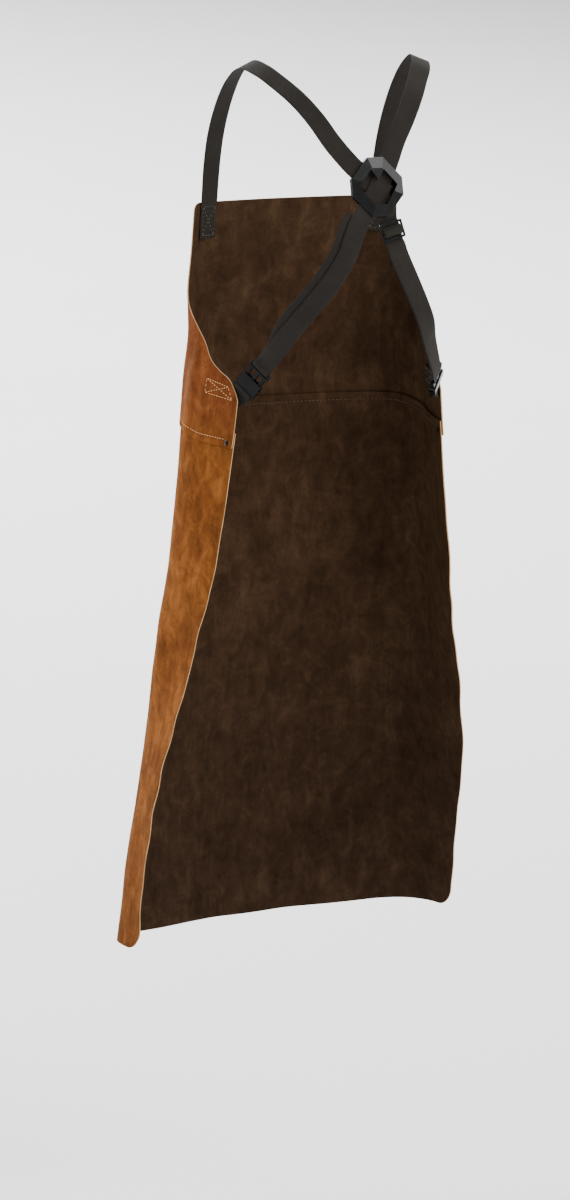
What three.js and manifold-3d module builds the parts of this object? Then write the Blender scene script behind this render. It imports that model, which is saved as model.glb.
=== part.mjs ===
// Leather bib apron with crossed webbing shoulder straps, in the form that it has when worn.
// Millimetres. +Z is up, the front faces -Y and the wearer's left is +X.
// The origin lies midway between the two places where the straps rest on the shoulders.

import * as THREE from 'three';
import { mergeVertices } from 'three/addons/utils/BufferGeometryUtils.js';
import Module from 'manifold-3d';

const wasm = await Module();
wasm.setup();

const { Vector3 } = THREE;
const UP = new Vector3(0, 0, 1);
const radians = THREE.MathUtils.degToRad;

// Clearance between pieces that touch
const GAP = 0.3;

// Leather: a 610 mm wide cut, 914 mm from the bib's top edge to the hem
const LEATHER = 2.0;
const HALF_WIDTH = 305;
const BIB_TOP = -176;
const BIB_HALF_TOP = 140;
const BIB_CORNER = 10;
const LAP_TOP = -426;
const LAP_BOTTOM = -444.5;
const HEM = -1090;
const HEM_CORNER = 25;
const COLUMNS = 32;
const SKIRT_STEPS = 12;
const CORNER_ANGLES = [0, 30, 60].map(radians);

// Edge of the bib below its top corner: armhole, cut-off wing corner, straight rear edge
const ARMHOLE = [
  { z: -186, half: 140 },
  { z: -212, half: 142 },
  { z: -238, half: 145.5 },
  { z: -263, half: 152 },
  { z: -284, half: 163 },
  { z: -297, half: 176 },
  { z: -306, half: 190 },
  { z: -314.5, half: 204 },
  { z: -323.5, half: 215.5 },
  { z: -332.5, half: 225 },
  { z: -341.5, half: 235 },
  { z: -348.5, half: 246 },
  { z: -355.5, half: 262 },
  { z: -363.5, half: 283.5 },
  { z: -378, half: 299.5 },
  { z: -387, half: 305 },
];

// Webbing: 25 mm tape, laid double next to the buckles
const WEB_WIDTH = 25;
const WEB = 1.3;
const LAYER = (WEB + GAP) / 2;
const LOOSE_STEP = 13;
const FINE_STEP = 3.5;
const TURN_STEPS = 7;
const BUCKLE_LEAD = 12.6;
const STRAP_SEWN_U = 117;
const STRAP_SEWN_LENGTH = 45;
const STRAP_SAGITTA = 0.95;
const TAIL_SHIFT = 9;
const TAIL_END_Z = -184;

// Back plate: an eight-sided shell, tilted with the upper back, round the crossing of the straps
const PLATE_TILT = radians(13);
const CROSSING = new Vector3(0, 98, -153);
const PLATE_ACROSS = -11;
const PLATE_RISE = 8.4;
const PLATE = { halfWidth: 33.5, halfHeight: 36, cornerX: 10.5, cornerY: 10.5 };
const PLATE_WALL = 2.1;
const PLATE_RIM = 3;
const PLATE_CROWN = 7;
const PLATE_CROWN_SCALE = 0.62;
const PLATE_HOLLOW_SCALE = 0.88;
const PLATE_REAR = 1.5;
const SLOT_WIDTH = 28.5;
const SLOT_HALF = 2 * LAYER - GAP / 2 + GAP;

// Three-bar slide on the doubled strap
const SLIDE = { halfWidth: 15.5, halfLength: 11, thickness: 1.8, corner: 1.6 };
const SLIDE_WINDOW = { halfWidth: 13.1, near: 1.5, far: 8.3 };
const SLIDE_BEND = { over: 2.2, under: 7.6, hold: 11.5, level: 19, sagitta: 0.3 };
const SLIDE_Z = -197.5;
const STRAP_END_PAST_SLIDE = 13;

// Side-release buckles, from the bar that holds the strap to the bar that holds the tab
const BAR_SPAN = 36;
const BAR_RADIUS = 1.6;
const LOOP_RADIUS = BAR_RADIUS + GAP + WEB / 2;
const LOOP_REACH = 10;
const CHEEK = { inside: 13.3, outside: 15.5, half: 2.2, end: 2.2, root: 4.8 };
const MALE_HALF = 2.5;
const MALE_BASE = 3.6;
const FEMALE = { mouth: 16.5, end: 32.4, halfWidth: 15.5, half: 4.2, corner: 2.5 };
const FEMALE_WALL = 1.3;
const FEMALE_WINDOW = { start: 18.2, end: 23.4 };

// Tabs on the wings
const TAB_SEWN = [{ u: 238, z: -377.5 }, { u: 258, z: -379.8 }, { u: 278, z: -382 }];
const TAB_BEND = { lead: 4, radius: 17 };
const TAB_SAGITTA = 0.4;
const TAB_INWARD = LEATHER / 2 + GAP + WEB / 2 + LAYER + TAB_SAGITTA;

// How each buckle lies, given as for the left side: the way from the strap's bar to the tab's bar, the way
// outwards, and where on the hide the tab starts to turn and twist up to it. The right one lies more level.
const LEFT_BUCKLE = {
  way: [0.4, -0.51, -0.76],
  lean: [0.8, 0.6, 0],
  start: { u: 291, z: -383.4 },
  turns: [49, 33, 16, 0],
  twists: [0, 0.5, 1, 1],
};
const RIGHT_BUCKLE = {
  way: [0.38, -0.78, -0.5],
  lean: [0.76, 0.6, -0.25],
  start: { u: 298, z: -384.2 },
  turns: [33, 22, 11, 0],
  twists: [0, 0.1, 0.5, 1],
};

// Rivets at the rear ends of the lap seam
const RIVET = { u: 294, z: -439, post: 1.5, hole: 1.8, cap: 3.5, dome: 1.6, back: 0.9 };
const RIVET_DRILL = 16;

// Sections of the worn leather, top to bottom. Each half turns from the front centre to its rear edge,
// first by FRONT_TURN as far as bendStart, then by the full turn at bendEnd, along the hide.
const FRONT_TURN = radians(8);
const WALK_STEPS = 40;
const NORMAL_STEP = 3.5;
const SECTIONS = [
  { z: -176, bendStart: 90, bendEnd: 255, turn: 100, front: -130, swing: 0 },
  { z: -320, bendStart: 68, bendEnd: 234, turn: 105, front: -159.5, swing: 0 },
  { z: -391, bendStart: 71.5, bendEnd: 241, turn: 104, front: -167, swing: 0 },
  { z: -460, bendStart: 81, bendEnd: 240.5, turn: 103, front: -166.5, swing: 0 },
  { z: -620, bendStart: 102.5, bendEnd: 247, turn: 101, front: -167, swing: 0 },
  { z: -700, bendStart: 119, bendEnd: 245, turn: 97, front: -174, swing: 1.5 },
  { z: -830, bendStart: 124, bendEnd: 243, turn: 80.5, front: -187, swing: 4.5 },
  { z: -915, bendStart: 131, bendEnd: 254, turn: 76, front: -192, swing: 6.5 },
  { z: -990, bendStart: 147, bendEnd: 269, turn: 79, front: -193, swing: 8 },
  { z: -1090, bendStart: 168, bendEnd: 283, turn: 88.5, front: -193, swing: 8.6 },
];

// The flanks hang lower than the front, by the depth of a ramp along the hide and then by a slope.
// This is full at the waist and gone below the hips.
const DROOP = { start: 150, ramp: 95, depth: 13, slope: 0.04, full: -480, gone: -760 };

// Shallow folds of the hanging leather, each a soft ridge (+) or dip (-) across the hide
const FOLDS = [
  { u: 205, z: -390, halfWidth: 14, halfHeight: 60, depth: 2.6 },
  { u: -205, z: -390, halfWidth: 14, halfHeight: 60, depth: 2.6 },
  { u: 150, z: -960, halfWidth: 34, halfHeight: 170, depth: -5 },
  { u: -140, z: -930, halfWidth: 36, halfHeight: 190, depth: -5 },
  { u: 55, z: -1000, halfWidth: 38, halfHeight: 210, depth: 6 },
  { u: -50, z: -960, halfWidth: 40, halfHeight: 240, depth: 6 },
];

// Left shoulder strap, from the bib over the shoulder to the crossing: centre line and outward lean
const SHOULDER_ROUTE = [
  { x: 116, y: -106, z: -125, nx: 0.2, ny: -0.95, nz: 0.2 },
  { x: 116.8, y: -91, z: -85, nx: 0.2, ny: -0.87, nz: 0.43 },
  { x: 117, y: -65, z: -44, nx: 0.25, ny: -0.7, nz: 0.66 },
  { x: 116.5, y: -36, z: -15, nx: 0.32, ny: -0.4, nz: 0.86 },
  { x: 115, y: -6, z: 0, nx: 0.38, ny: 0, nz: 0.92 },
  { x: 106, y: 20, z: -6, nx: 0.33, ny: 0.33, nz: 0.88 },
  { x: 92.5, y: 39.4, z: -20, nx: 0.25, ny: 0.55, nz: 0.8 },
  { x: 75.6, y: 60.7, z: -40, nx: 0.15, ny: 0.75, nz: 0.65 },
  { x: 58, y: 75.5, z: -65, nx: 0.08, ny: 0.9, nz: 0.43 },
];

// The same strap through the plate, in the plate's plane, measured from the crossing. The plate sits
// towards the wearer's right and pulls both straps part of the way with it.
const CROSSING_ROUTE = [
  { across: 42, rise: 64.5, pull: 0 },
  { across: 25.8, rise: 39, pull: 0.38 },
  { across: 0, rise: 4, pull: 1 },
  { across: -16, rise: -25.7, pull: 0.5 },
  { across: -24, rise: -43.1, pull: 0.16 },
];

// The same strap from the crossing down to the right buckle, round the wearer's side
const RIGHT_SIDE_ROUTE = [
  { x: -34.5, y: 109, z: -225, nx: -0.12, ny: 0.99, nz: -0.02 },
  { x: -48.5, y: 107.4, z: -254, nx: -0.15, ny: 0.98, nz: -0.02 },
  { x: -64.2, y: 101.9, z: -283, nx: -0.18, ny: 0.98, nz: 0 },
  { x: -77.8, y: 96.6, z: -311, nx: -0.25, ny: 0.96, nz: 0 },
  { x: -86.9, y: 86.4, z: -334, nx: -0.42, ny: 0.9, nz: 0 },
];

// The right shoulder's strap down to the left buckle, given as its mirror image
const LEFT_SIDE_ROUTE = [
  { x: -34.5, y: 109, z: -225, nx: -0.12, ny: 0.99, nz: -0.02 },
  { x: -51, y: 102, z: -255, nx: -0.15, ny: 0.98, nz: -0.02 },
  { x: -70.5, y: 88.5, z: -285, nx: -0.18, ny: 0.98, nz: 0 },
  { x: -89.5, y: 71.5, z: -315, nx: -0.25, ny: 0.96, nz: 0 },
  { x: -101.5, y: 55, z: -339, nx: -0.42, ny: 0.9, nz: 0 },
];

// Half outline of the plate's window, in the plate's plane, from the tongue's tip downwards
const WINDOW = [
  { across: 0, rise: 8 },
  { across: 8.5, rise: 20.5 },
  { across: 25, rise: 2 },
  { across: 20.5, rise: -5 },
  { across: 11.5, rise: -17.5 },
  { across: 9, rise: -22 },
];

// Half outline of the buckle's plug: centre guide, barbed side prong and base
const PLUG = [
  { along: 28, aside: 1.4 },
  { along: 27, aside: 2.6 },
  { along: 6.4, aside: 2.6 },
  { along: 6.4, aside: 9.2 },
  { along: 17, aside: 9.4 },
  { along: 25, aside: 8.2 },
  { along: 27.5, aside: 9 },
  { along: 26.5, aside: 11.2 },
  { along: 21, aside: 15.3 },
  { along: 19, aside: 15.3 },
  { along: 18.6, aside: 13.2 },
  { along: 7.4, aside: 13.5 },
  { along: 6.4, aside: 15.5 },
  { along: MALE_BASE, aside: 15.5 },
];

const MATERIALS = {
  suede: new THREE.MeshStandardMaterial({ color: 0x8b5426, roughness: 0.95, metalness: 0 }),
  webbing: new THREE.MeshStandardMaterial({ color: 0x2c2926, roughness: 0.85, metalness: 0 }),
  plastic: new THREE.MeshStandardMaterial({ color: 0x141414, roughness: 0.25, metalness: 0 }),
  rivet: new THREE.MeshStandardMaterial({ color: 0x2a2522, roughness: 0.35, metalness: 0.9 }),
};

const apron = new THREE.Group();

// Solids and meshes

function smooth(share) {
  const t = THREE.MathUtils.clamp(share, 0, 1);
  return t * t * (3 - 2 * t);
}

// One closed geometry from points and quads or triangles, with its faces turned outwards
function closedGeometry(points, faces) {
  const triangles = [];
  let volume = 0;
  for (const face of faces) {
    for (let k = 2; k < face.length; k += 1) {
      const triangle = [face[0], face[k - 1], face[k]];
      const [a, b, c] = triangle.map((index) => points[index]);
      volume += a.dot(b.clone().cross(c));
      triangles.push(triangle);
    }
  }
  const ordered = volume > 0 ? triangles : triangles.map(([a, b, c]) => [a, c, b]);
  const places = points.flatMap((point) => point.toArray());
  const geometry = new THREE.BufferGeometry();
  geometry.setAttribute('position', new THREE.Float32BufferAttribute(places, 3));
  geometry.setIndex(ordered.flat());
  return geometry;
}

function solid(geometry) {
  const bare = geometry.clone();
  bare.deleteAttribute('normal');
  bare.deleteAttribute('uv');
  const merged = mergeVertices(bare, 1e-4);
  const vertProperties = new Float32Array(merged.attributes.position.array);
  const triVerts = new Uint32Array(merged.index.array);
  return new wasm.Manifold(new wasm.Mesh({ numProp: 3, vertProperties, triVerts }));
}

function geometryOf(manifold) {
  const mesh = manifold.getMesh();
  const geometry = new THREE.BufferGeometry();
  geometry.setAttribute('position', new THREE.BufferAttribute(new Float32Array(mesh.vertProperties), 3));
  geometry.setIndex(new THREE.BufferAttribute(new Uint32Array(mesh.triVerts), 1));
  return geometry;
}

function addPiece(name, geometry, material, parent = apron) {
  const mesh = new THREE.Mesh(geometry, MATERIALS[material]);
  mesh.name = name;
  parent.add(mesh);
}

// A box between two corners
function block(low, high) {
  const size = high.map((value, k) => value - low[k]);
  const middle = high.map((value, k) => (value + low[k]) / 2);
  return solid(new THREE.BoxGeometry(...size).translate(...middle));
}

// A flat outline raised from one height to another
function prism(shape, low, high) {
  const options = { depth: high - low, bevelEnabled: false, curveSegments: 5 };
  return solid(new THREE.ExtrudeGeometry(shape, options).translate(0, 0, low));
}

// An outline from the rows of one half and their mirror images, placed by a function of row and side
function mirroredShape(half, place) {
  const upper = half.map((row) => new THREE.Vector2(...place(row, 1)));
  const lower = half.map((row) => new THREE.Vector2(...place(row, -1))).reverse();
  const points = [...upper, ...lower];
  return new THREE.Shape(points.filter((p, k) => !p.equals(points[(k + 1) % points.length])));
}

function roundedRectangle(x0, x1, y0, y1, radius) {
  const shape = new THREE.Shape();
  shape.absarc(x1 - radius, y1 - radius, radius, 0, Math.PI / 2);
  shape.absarc(x0 + radius, y1 - radius, radius, Math.PI / 2, Math.PI);
  shape.absarc(x0 + radius, y0 + radius, radius, Math.PI, 1.5 * Math.PI);
  shape.absarc(x1 - radius, y0 + radius, radius, 1.5 * Math.PI, 2 * Math.PI);
  return shape;
}

// A group whose x and z axes lie along the two given directions
function placedGroup(origin, along, outward) {
  const across = outward.clone().cross(along);
  const group = new THREE.Group();
  group.setRotationFromMatrix(new THREE.Matrix4().makeBasis(along, across, outward));
  group.position.copy(origin);
  apron.add(group);
  return group;
}

// Leather

// Values of the section table at any height, on a smooth curve through the rows
function sectionAt(z) {
  const last = SECTIONS.length - 1;
  const below = SECTIONS.findIndex((row) => row.z <= z);
  const i = THREE.MathUtils.clamp(below < 0 ? last : below, 1, last) - 1;
  const slope = (key, k) => {
    const before = SECTIONS[Math.max(k - 1, 0)];
    const after = SECTIONS[Math.min(k + 1, last)];
    return (after[key] - before[key]) / (after.z - before.z);
  };
  const [from, to] = [SECTIONS[i], SECTIONS[i + 1]];
  const span = to.z - from.z;
  const t = (z - from.z) / span;
  const value = (key) => {
    const ease = smooth(t);
    const bulge = t * (1 - t) * span * ((1 - t) * slope(key, i) - t * slope(key, i + 1));
    return from[key] * (1 - ease) + to[key] * ease + bulge;
  };
  return {
    bendStart: value('bendStart'),
    bendEnd: value('bendEnd'),
    turn: radians(value('turn')),
    front: value('front'),
    swing: radians(value('swing')),
  };
}

function turnAt(reach, section) {
  const bend = smooth((reach - section.bendStart) / (section.bendEnd - section.bendStart));
  return FRONT_TURN * Math.min(reach / section.bendStart, 1) + (section.turn - FRONT_TURN) * bend;
}

function foldAt(u, z) {
  const depths = FOLDS.map((fold) => {
    const across = (u - fold.u) / fold.halfWidth;
    const along = (z - fold.z) / fold.halfHeight;
    return fold.depth * Math.exp(-across * across - along * along);
  });
  return depths.reduce((sum, depth) => sum + depth, 0);
}

function droopAt(reach, z) {
  const past = Math.max(reach - DROOP.start, 0);
  const share = smooth((z - DROOP.gone) / (DROOP.full - DROOP.gone));
  return share * (DROOP.depth * smooth(past / DROOP.ramp) + DROOP.slope * past);
}

// A point of the bib's middle surface, u along the hide from the front centre and z as cut, before the
// flanks hang, and its outward direction
function leatherAt(u, z, offset = 0) {
  const reach = Math.abs(u);
  const height = z - droopAt(reach, z);
  const section = sectionAt(height);
  const side = u < 0 ? -1 : 1;
  const step = reach / WALK_STEPS;
  const point = new Vector3(0, section.front, height);
  for (let k = 0; k < WALK_STEPS; k += 1) {
    const turn = turnAt((k + 0.5) * step, section);
    point.x += side * Math.cos(turn) * step;
    point.y += Math.sin(turn) * step;
  }
  const turn = turnAt(reach, section);
  const outward = new Vector3(side * Math.sin(turn), -Math.cos(turn), 0);
  point.applyAxisAngle(UP, section.swing);
  outward.applyAxisAngle(UP, section.swing);
  point.addScaledVector(outward, foldAt(u, z) + offset);
  return { point, outward };
}

// A place inside the leather, square to it, and the direction outwards
function insideAt(u, z, inward) {
  const { point } = leatherAt(u, z);
  const along = leatherAt(u + NORMAL_STEP, z).point.sub(point);
  const upwards = leatherAt(u, z + NORMAL_STEP).point.sub(point);
  const lean = along.cross(upwards).normalize();
  return { place: point.addScaledVector(lean, -inward), lean };
}

// A panel of the hide from rows of height and half width, as a wall of the leather's thickness
function leatherPanel(rows, offset) {
  const points = [];
  const faces = [];
  const index = (layer, row, column) => (layer * rows.length + row) * (COLUMNS + 1) + column;
  for (const layer of [0.5, -0.5]) {
    for (const { z, half } of rows) {
      for (let column = 0; column <= COLUMNS; column += 1) {
        const u = half * ((2 * column) / COLUMNS - 1);
        points.push(leatherAt(u, z, offset + layer * LEATHER).point);
      }
    }
  }
  const lastRow = rows.length - 1;
  const edgeFace = (from, to) => [index(0, ...from), index(1, ...from), index(1, ...to), index(0, ...to)];
  for (let row = 0; row < lastRow; row += 1) {
    for (let column = 0; column < COLUMNS; column += 1) {
      const corners = [[row, column], [row + 1, column], [row + 1, column + 1], [row, column + 1]];
      const [first, second, third, fourth] = corners.map(([r, c]) => index(1, r, c));
      faces.push(corners.map(([r, c]) => index(0, r, c)));
      faces.push([first, fourth, third, second]);
    }
    faces.push(edgeFace([row, 0], [row + 1, 0]));
    faces.push(edgeFace([row + 1, COLUMNS], [row, COLUMNS]));
  }
  for (let column = 0; column < COLUMNS; column += 1) {
    faces.push(edgeFace([0, column + 1], [0, column]));
    faces.push(edgeFace([lastRow, column], [lastRow, column + 1]));
  }
  return closedGeometry(points, faces);
}

// Bib: rounded top corner, armhole and wing, straight rear edge
function bibRows() {
  const rows = [];
  for (const angle of CORNER_ANGLES) {
    const half = BIB_HALF_TOP - BIB_CORNER * (1 - Math.sin(angle));
    rows.push({ z: BIB_TOP - BIB_CORNER * (1 - Math.cos(angle)), half });
  }
  const wingEnd = ARMHOLE.at(-1).z;
  const rear = [(wingEnd + LAP_TOP) / 2, LAP_TOP, LAP_BOTTOM].map((z) => ({ z, half: HALF_WIDTH }));
  return [...rows, ...ARMHOLE, ...rear];
}

// Skirt: straight edges, rounded hem corners
function skirtRows() {
  const rows = [{ z: LAP_TOP, half: HALF_WIDTH }];
  const straight = HEM + HEM_CORNER - LAP_BOTTOM;
  for (let k = 0; k <= SKIRT_STEPS; k += 1) {
    rows.push({ z: LAP_BOTTOM + (straight * k) / SKIRT_STEPS, half: HALF_WIDTH });
  }
  for (const angle of CORNER_ANGLES.toReversed()) {
    const half = HALF_WIDTH - HEM_CORNER * (1 - Math.sin(angle));
    rows.push({ z: HEM + HEM_CORNER * (1 - Math.cos(angle)), half });
  }
  return rows;
}

// Place of a rivet, with its axis square to the leather and outwards
function rivetFrame(side) {
  const { place, lean } = insideAt(side * RIVET.u, RIVET.z, 0);
  const turn = new THREE.Quaternion().setFromUnitVectors(new Vector3(0, 1, 0), lean);
  return new THREE.Matrix4().compose(place, turn, new Vector3(1, 1, 1));
}

function addLeather() {
  const holes = [1, -1].map((side) => {
    const drill = new THREE.CylinderGeometry(RIVET.hole, RIVET.hole, RIVET_DRILL, 12);
    return solid(drill.applyMatrix4(rivetFrame(side)));
  });
  const lapOffset = -(LEATHER + GAP);
  const panels = [
    ['bib_panel', leatherPanel(bibRows(), 0)],
    ['skirt_panel', leatherPanel(skirtRows(), lapOffset)],
  ];
  for (const [name, panel] of panels) {
    const cut = holes.reduce((body, hole) => body.subtract(hole), solid(panel));
    addPiece(name, geometryOf(cut), 'suede');
  }
}

function addRivets() {
  const outer = LEATHER / 2 + GAP;
  const inner = -(1.5 * LEATHER + 2 * GAP);
  const profile = [
    [0, inner - RIVET.back],
    [RIVET.cap, inner - RIVET.back],
    [RIVET.cap, inner],
    [RIVET.post, inner],
    [RIVET.post, outer],
    [RIVET.cap, outer],
    [0.8 * RIVET.cap, outer + 0.65 * RIVET.dome],
    [0.4 * RIVET.cap, outer + RIVET.dome],
    [0, outer + RIVET.dome],
  ].map(([radius, height]) => new THREE.Vector2(radius, height));
  for (const [name, side] of [['seam_rivet_left', 1], ['seam_rivet_right', -1]]) {
    const geometry = new THREE.LatheGeometry(profile, 14).applyMatrix4(rivetFrame(side));
    addPiece(name, geometryOf(solid(geometry)), 'rivet');
  }
}

// Webbing

// A smooth route through rows of places and outward leans, walked by its length
function makeRoute(rows) {
  const curve = new THREE.CatmullRomCurve3(rows.map((row) => row.place), false, 'centripetal');
  const lean = new THREE.CatmullRomCurve3(rows.map((row) => row.lean), false, 'catmullrom', 0.5);
  curve.arcLengthDivisions = 1200;
  return { curve, lean, length: curve.getLength() };
}

function routeFrame(route, arc) {
  const t = route.curve.getUtoTmapping(arc / route.length);
  const place = route.curve.getPoint(t);
  const travel = route.curve.getTangent(t);
  const outward = route.lean.getPoint(t);
  outward.addScaledVector(travel, -outward.dot(travel)).normalize();
  const side = outward.clone().cross(travel);
  return { place, travel, outward, side };
}

// Lengths along a route where the webbing has a station, closer together within reach of each mark
function stationArcs(route, marks) {
  const arcs = [0];
  let arc = 0;
  while (arc < route.length - 1) {
    const near = marks.filter((mark) => Math.abs(arc - mark.at) < mark.reach);
    arc += Math.min(LOOSE_STEP, ...near.map((mark) => mark.step));
    arcs.push(Math.min(arc, route.length));
  }
  arcs[arcs.length - 1] = route.length;
  return arcs;
}

// Tape through stations of centre, side direction and face direction, closed at both ends
function ribbon(stations) {
  const corners = [[1, 1], [-1, 1], [-1, -1], [1, -1]];
  const points = stations.flatMap(({ place, side, face }) => corners.map(([across, through]) => {
    const corner = place.clone().addScaledVector(side, (across * WEB_WIDTH) / 2);
    return corner.addScaledVector(face, (through * WEB) / 2);
  }));
  const last = 4 * (stations.length - 1);
  const faces = [[3, 2, 1, 0], [last, last + 1, last + 2, last + 3]];
  for (let start = 0; start < last; start += 4) {
    for (let k = 0; k < 4; k += 1) {
      const next = (k + 1) % 4;
      faces.push([start + k, start + next, start + 4 + next, start + 4 + k]);
    }
  }
  return closedGeometry(points, faces);
}

// Half the distance between the two layers, which open round the bar at the route's end
function layerSpread(route, arc) {
  const open = 1 - smooth((route.length - arc) / LOOP_REACH);
  return LAYER + (LOOP_RADIUS - LAYER) * open;
}

// One layer of tape on a route. The lead is +1 outside or -1 inside, and faces away from the other layer.
function layerStations(route, arcs, lead, offsetAt) {
  return arcs.map((arc) => {
    const { place, outward, side } = routeFrame(route, arc);
    const { rise, shift } = offsetAt(arc, lead);
    place.addScaledVector(outward, rise).addScaledVector(side, shift);
    return { place, side, face: outward.multiplyScalar(lead) };
  });
}

// The turn of the tape round the bar at the route's end
function turnStations(route, lead) {
  const { place, travel, outward, side } = routeFrame(route, route.length);
  return Array.from({ length: TURN_STEPS - 1 }, (_, k) => {
    const angle = (Math.PI * (k + 1)) / TURN_STEPS;
    const face = outward.clone().multiplyScalar(lead * Math.cos(angle));
    face.addScaledVector(travel, Math.sin(angle));
    return { place: place.clone().addScaledVector(face, LOOP_RADIUS), side, face };
  });
}

// Tape that leads on one layer to the bar, turns round it and returns on the other layer as far as backTo
function loopedTape(route, arcs, lead, backTo, offsetAt) {
  const back = arcs.filter((arc) => arc >= backTo).reverse();
  return ribbon([
    ...layerStations(route, arcs, lead, offsetAt),
    ...turnStations(route, lead),
    ...layerStations(route, back, -lead, offsetAt),
  ]);
}

// Buckle frames and strap routes

// Place on the tab's bend, from its bar, after turning by an angle in the buckle's plane
function tabBend(bar, axis, across, angle) {
  const { lead, radius } = TAB_BEND;
  const place = bar.clone().addScaledVector(axis, lead + radius * Math.sin(angle));
  return place.addScaledVector(across, -radius * (1 - Math.cos(angle)));
}

// The buckle on one side (+1 left, -1 right): strap bar, tab bar, axis between them, outward direction
// and the rows of the tab's free bend
function buckleFrame(side) {
  const { way, lean, start, turns, twists } = side > 0 ? LEFT_BUCKLE : RIGHT_BUCKLE;
  const axis = new Vector3(...way).normalize();
  const outward = new Vector3(...lean);
  outward.addScaledVector(axis, -axis.dot(outward)).normalize();
  const across = outward.clone().cross(axis);
  const angles = turns.map(radians);
  const bend = insideAt(start.u, start.z, TAB_INWARD).place;
  const tab = bend.clone().sub(tabBend(new Vector3(), axis, across, angles[0]));
  const strap = tab.clone().addScaledVector(axis, -BAR_SPAN);
  const bends = angles.map((angle) => tabBend(tab, axis, across, angle));
  const mirror = new Vector3(side, 1, 1);
  for (const vector of [tab, axis, strap, outward, ...bends]) {
    vector.multiply(mirror);
  }
  return { strap, tab, axis, outward, bends, twists };
}

const plateUp = new Vector3(0, -Math.sin(PLATE_TILT), Math.cos(PLATE_TILT));
const plateOut = new Vector3(0, Math.cos(PLATE_TILT), Math.sin(PLATE_TILT));

// Route of the strap from one shoulder (+1 left, -1 right) to the other side's buckle
function strapRoute(shoulder) {
  const sewnInward = LEATHER / 2 + GAP + WEB / 2 + STRAP_SAGITTA;
  const sewn = [1, 0.5, 0].map((share) => (
    insideAt(STRAP_SEWN_U, BIB_TOP - share * STRAP_SEWN_LENGTH, sewnInward)
  ));
  const free = (row) => ({
    place: new Vector3(row.x, row.y, row.z),
    lean: new Vector3(row.nx, row.ny, row.nz),
  });
  const crossing = CROSSING_ROUTE.map((row) => {
    const place = CROSSING.clone().addScaledVector(plateUp, row.rise);
    place.x += row.across + shoulder * row.pull * PLATE_ACROSS;
    return { place, lean: plateOut.clone() };
  });
  const side = shoulder > 0 ? RIGHT_SIDE_ROUTE : LEFT_SIDE_ROUTE;
  const rows = [...sewn, ...SHOULDER_ROUTE.map(free), ...crossing, ...side.map(free)];
  const mirror = new Vector3(shoulder, 1, 1);
  for (const row of rows) {
    row.place.multiply(mirror);
    row.lean.multiply(mirror);
  }
  const buckle = buckleFrame(-shoulder);
  for (const lead of [BUCKLE_LEAD, 0]) {
    const place = buckle.strap.clone().addScaledVector(buckle.axis, -lead);
    rows.push({ place, lean: buckle.outward.clone() });
  }
  return makeRoute(rows);
}

// Length along a route at which it passes a height, counted on its last way down
function arcAtHeight(route, z) {
  let arc = route.length;
  while (routeFrame(route, arc).place.z < z) {
    arc -= 0.5;
  }
  return arc;
}

// How far the doubled strap lies off its route: over the slide's middle bar and under its outer bars
function slideWave(distance) {
  const swing = SLIDE.thickness / 2 + GAP + WEB / 2 + LAYER + SLIDE_BEND.sagitta;
  const reach = Math.abs(distance);
  const over = 1 - 2 * smooth((reach - SLIDE_BEND.over) / (SLIDE_BEND.under - SLIDE_BEND.over));
  const level = smooth((reach - SLIDE_BEND.hold) / (SLIDE_BEND.level - SLIDE_BEND.hold));
  return swing * over * (1 - level);
}

// The two layers draw together on the sewn end, which is single
function backShare(arc) {
  return smooth((arc - 1.5 * STRAP_SEWN_LENGTH) / (3 * STRAP_SEWN_LENGTH));
}

const leftRoute = strapRoute(1);
const rightRoute = strapRoute(-1);
const slideArc = arcAtHeight(leftRoute, SLIDE_Z);

// The left shoulder's strap runs inside to its buckle and comes back outside to end in the slide
function addLeftStrap() {
  const marks = [
    { at: slideArc, reach: 34, step: 2 },
    { at: leftRoute.length, reach: 16, step: FINE_STEP },
  ];
  const offsetAt = (arc, lead) => ({
    rise: lead * layerSpread(leftRoute, arc) * backShare(arc) + slideWave(arc - slideArc),
    shift: 0,
  });
  const arcs = stationArcs(leftRoute, marks);
  const tape = loopedTape(leftRoute, arcs, -1, slideArc - STRAP_END_PAST_SLIDE, offsetAt);
  addPiece('strap_left', tape, 'webbing');
}

// The right shoulder's strap runs outside to its buckle. Its tail comes back inside, a little to one side.
function addRightStrap() {
  const marks = [{ at: rightRoute.length, reach: 16, step: FINE_STEP }];
  const offsetAt = (arc, lead) => {
    const aside = smooth((rightRoute.length - arc - 2 * LOOP_REACH) / (6 * LOOP_REACH));
    return {
      rise: lead * layerSpread(rightRoute, arc) * backShare(arc),
      shift: lead < 0 ? -TAIL_SHIFT * aside : 0,
    };
  };
  const arcs = stationArcs(rightRoute, marks);
  const tape = loopedTape(rightRoute, arcs, 1, arcAtHeight(rightRoute, TAIL_END_Z), offsetAt);
  addPiece('strap_right', tape, 'webbing');
}

// Tabs: sewn double inside the wings, out past the cut corners and round the buckles' tab bars
function addTab(name, side) {
  const { tab, outward, bends, twists } = buckleFrame(side);
  const rows = TAB_SEWN.map(({ u, z }) => insideAt(side * u, z, TAB_INWARD));
  const sewnLean = rows.at(-1).lean;
  rows.push(...bends.map((place, k) => ({ place, lean: sewnLean.clone().lerp(outward, twists[k]) })));
  rows.push({ place: tab, lean: outward });
  const route = makeRoute(rows);
  const arcs = stationArcs(route, [{ at: route.length, reach: 44, step: FINE_STEP }]);
  const offsetAt = (arc, lead) => ({ rise: lead * layerSpread(route, arc), shift: 0 });
  addPiece(name, loopedTape(route, arcs, 1, 0, offsetAt), 'webbing');
}

// Plastic pieces

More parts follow.
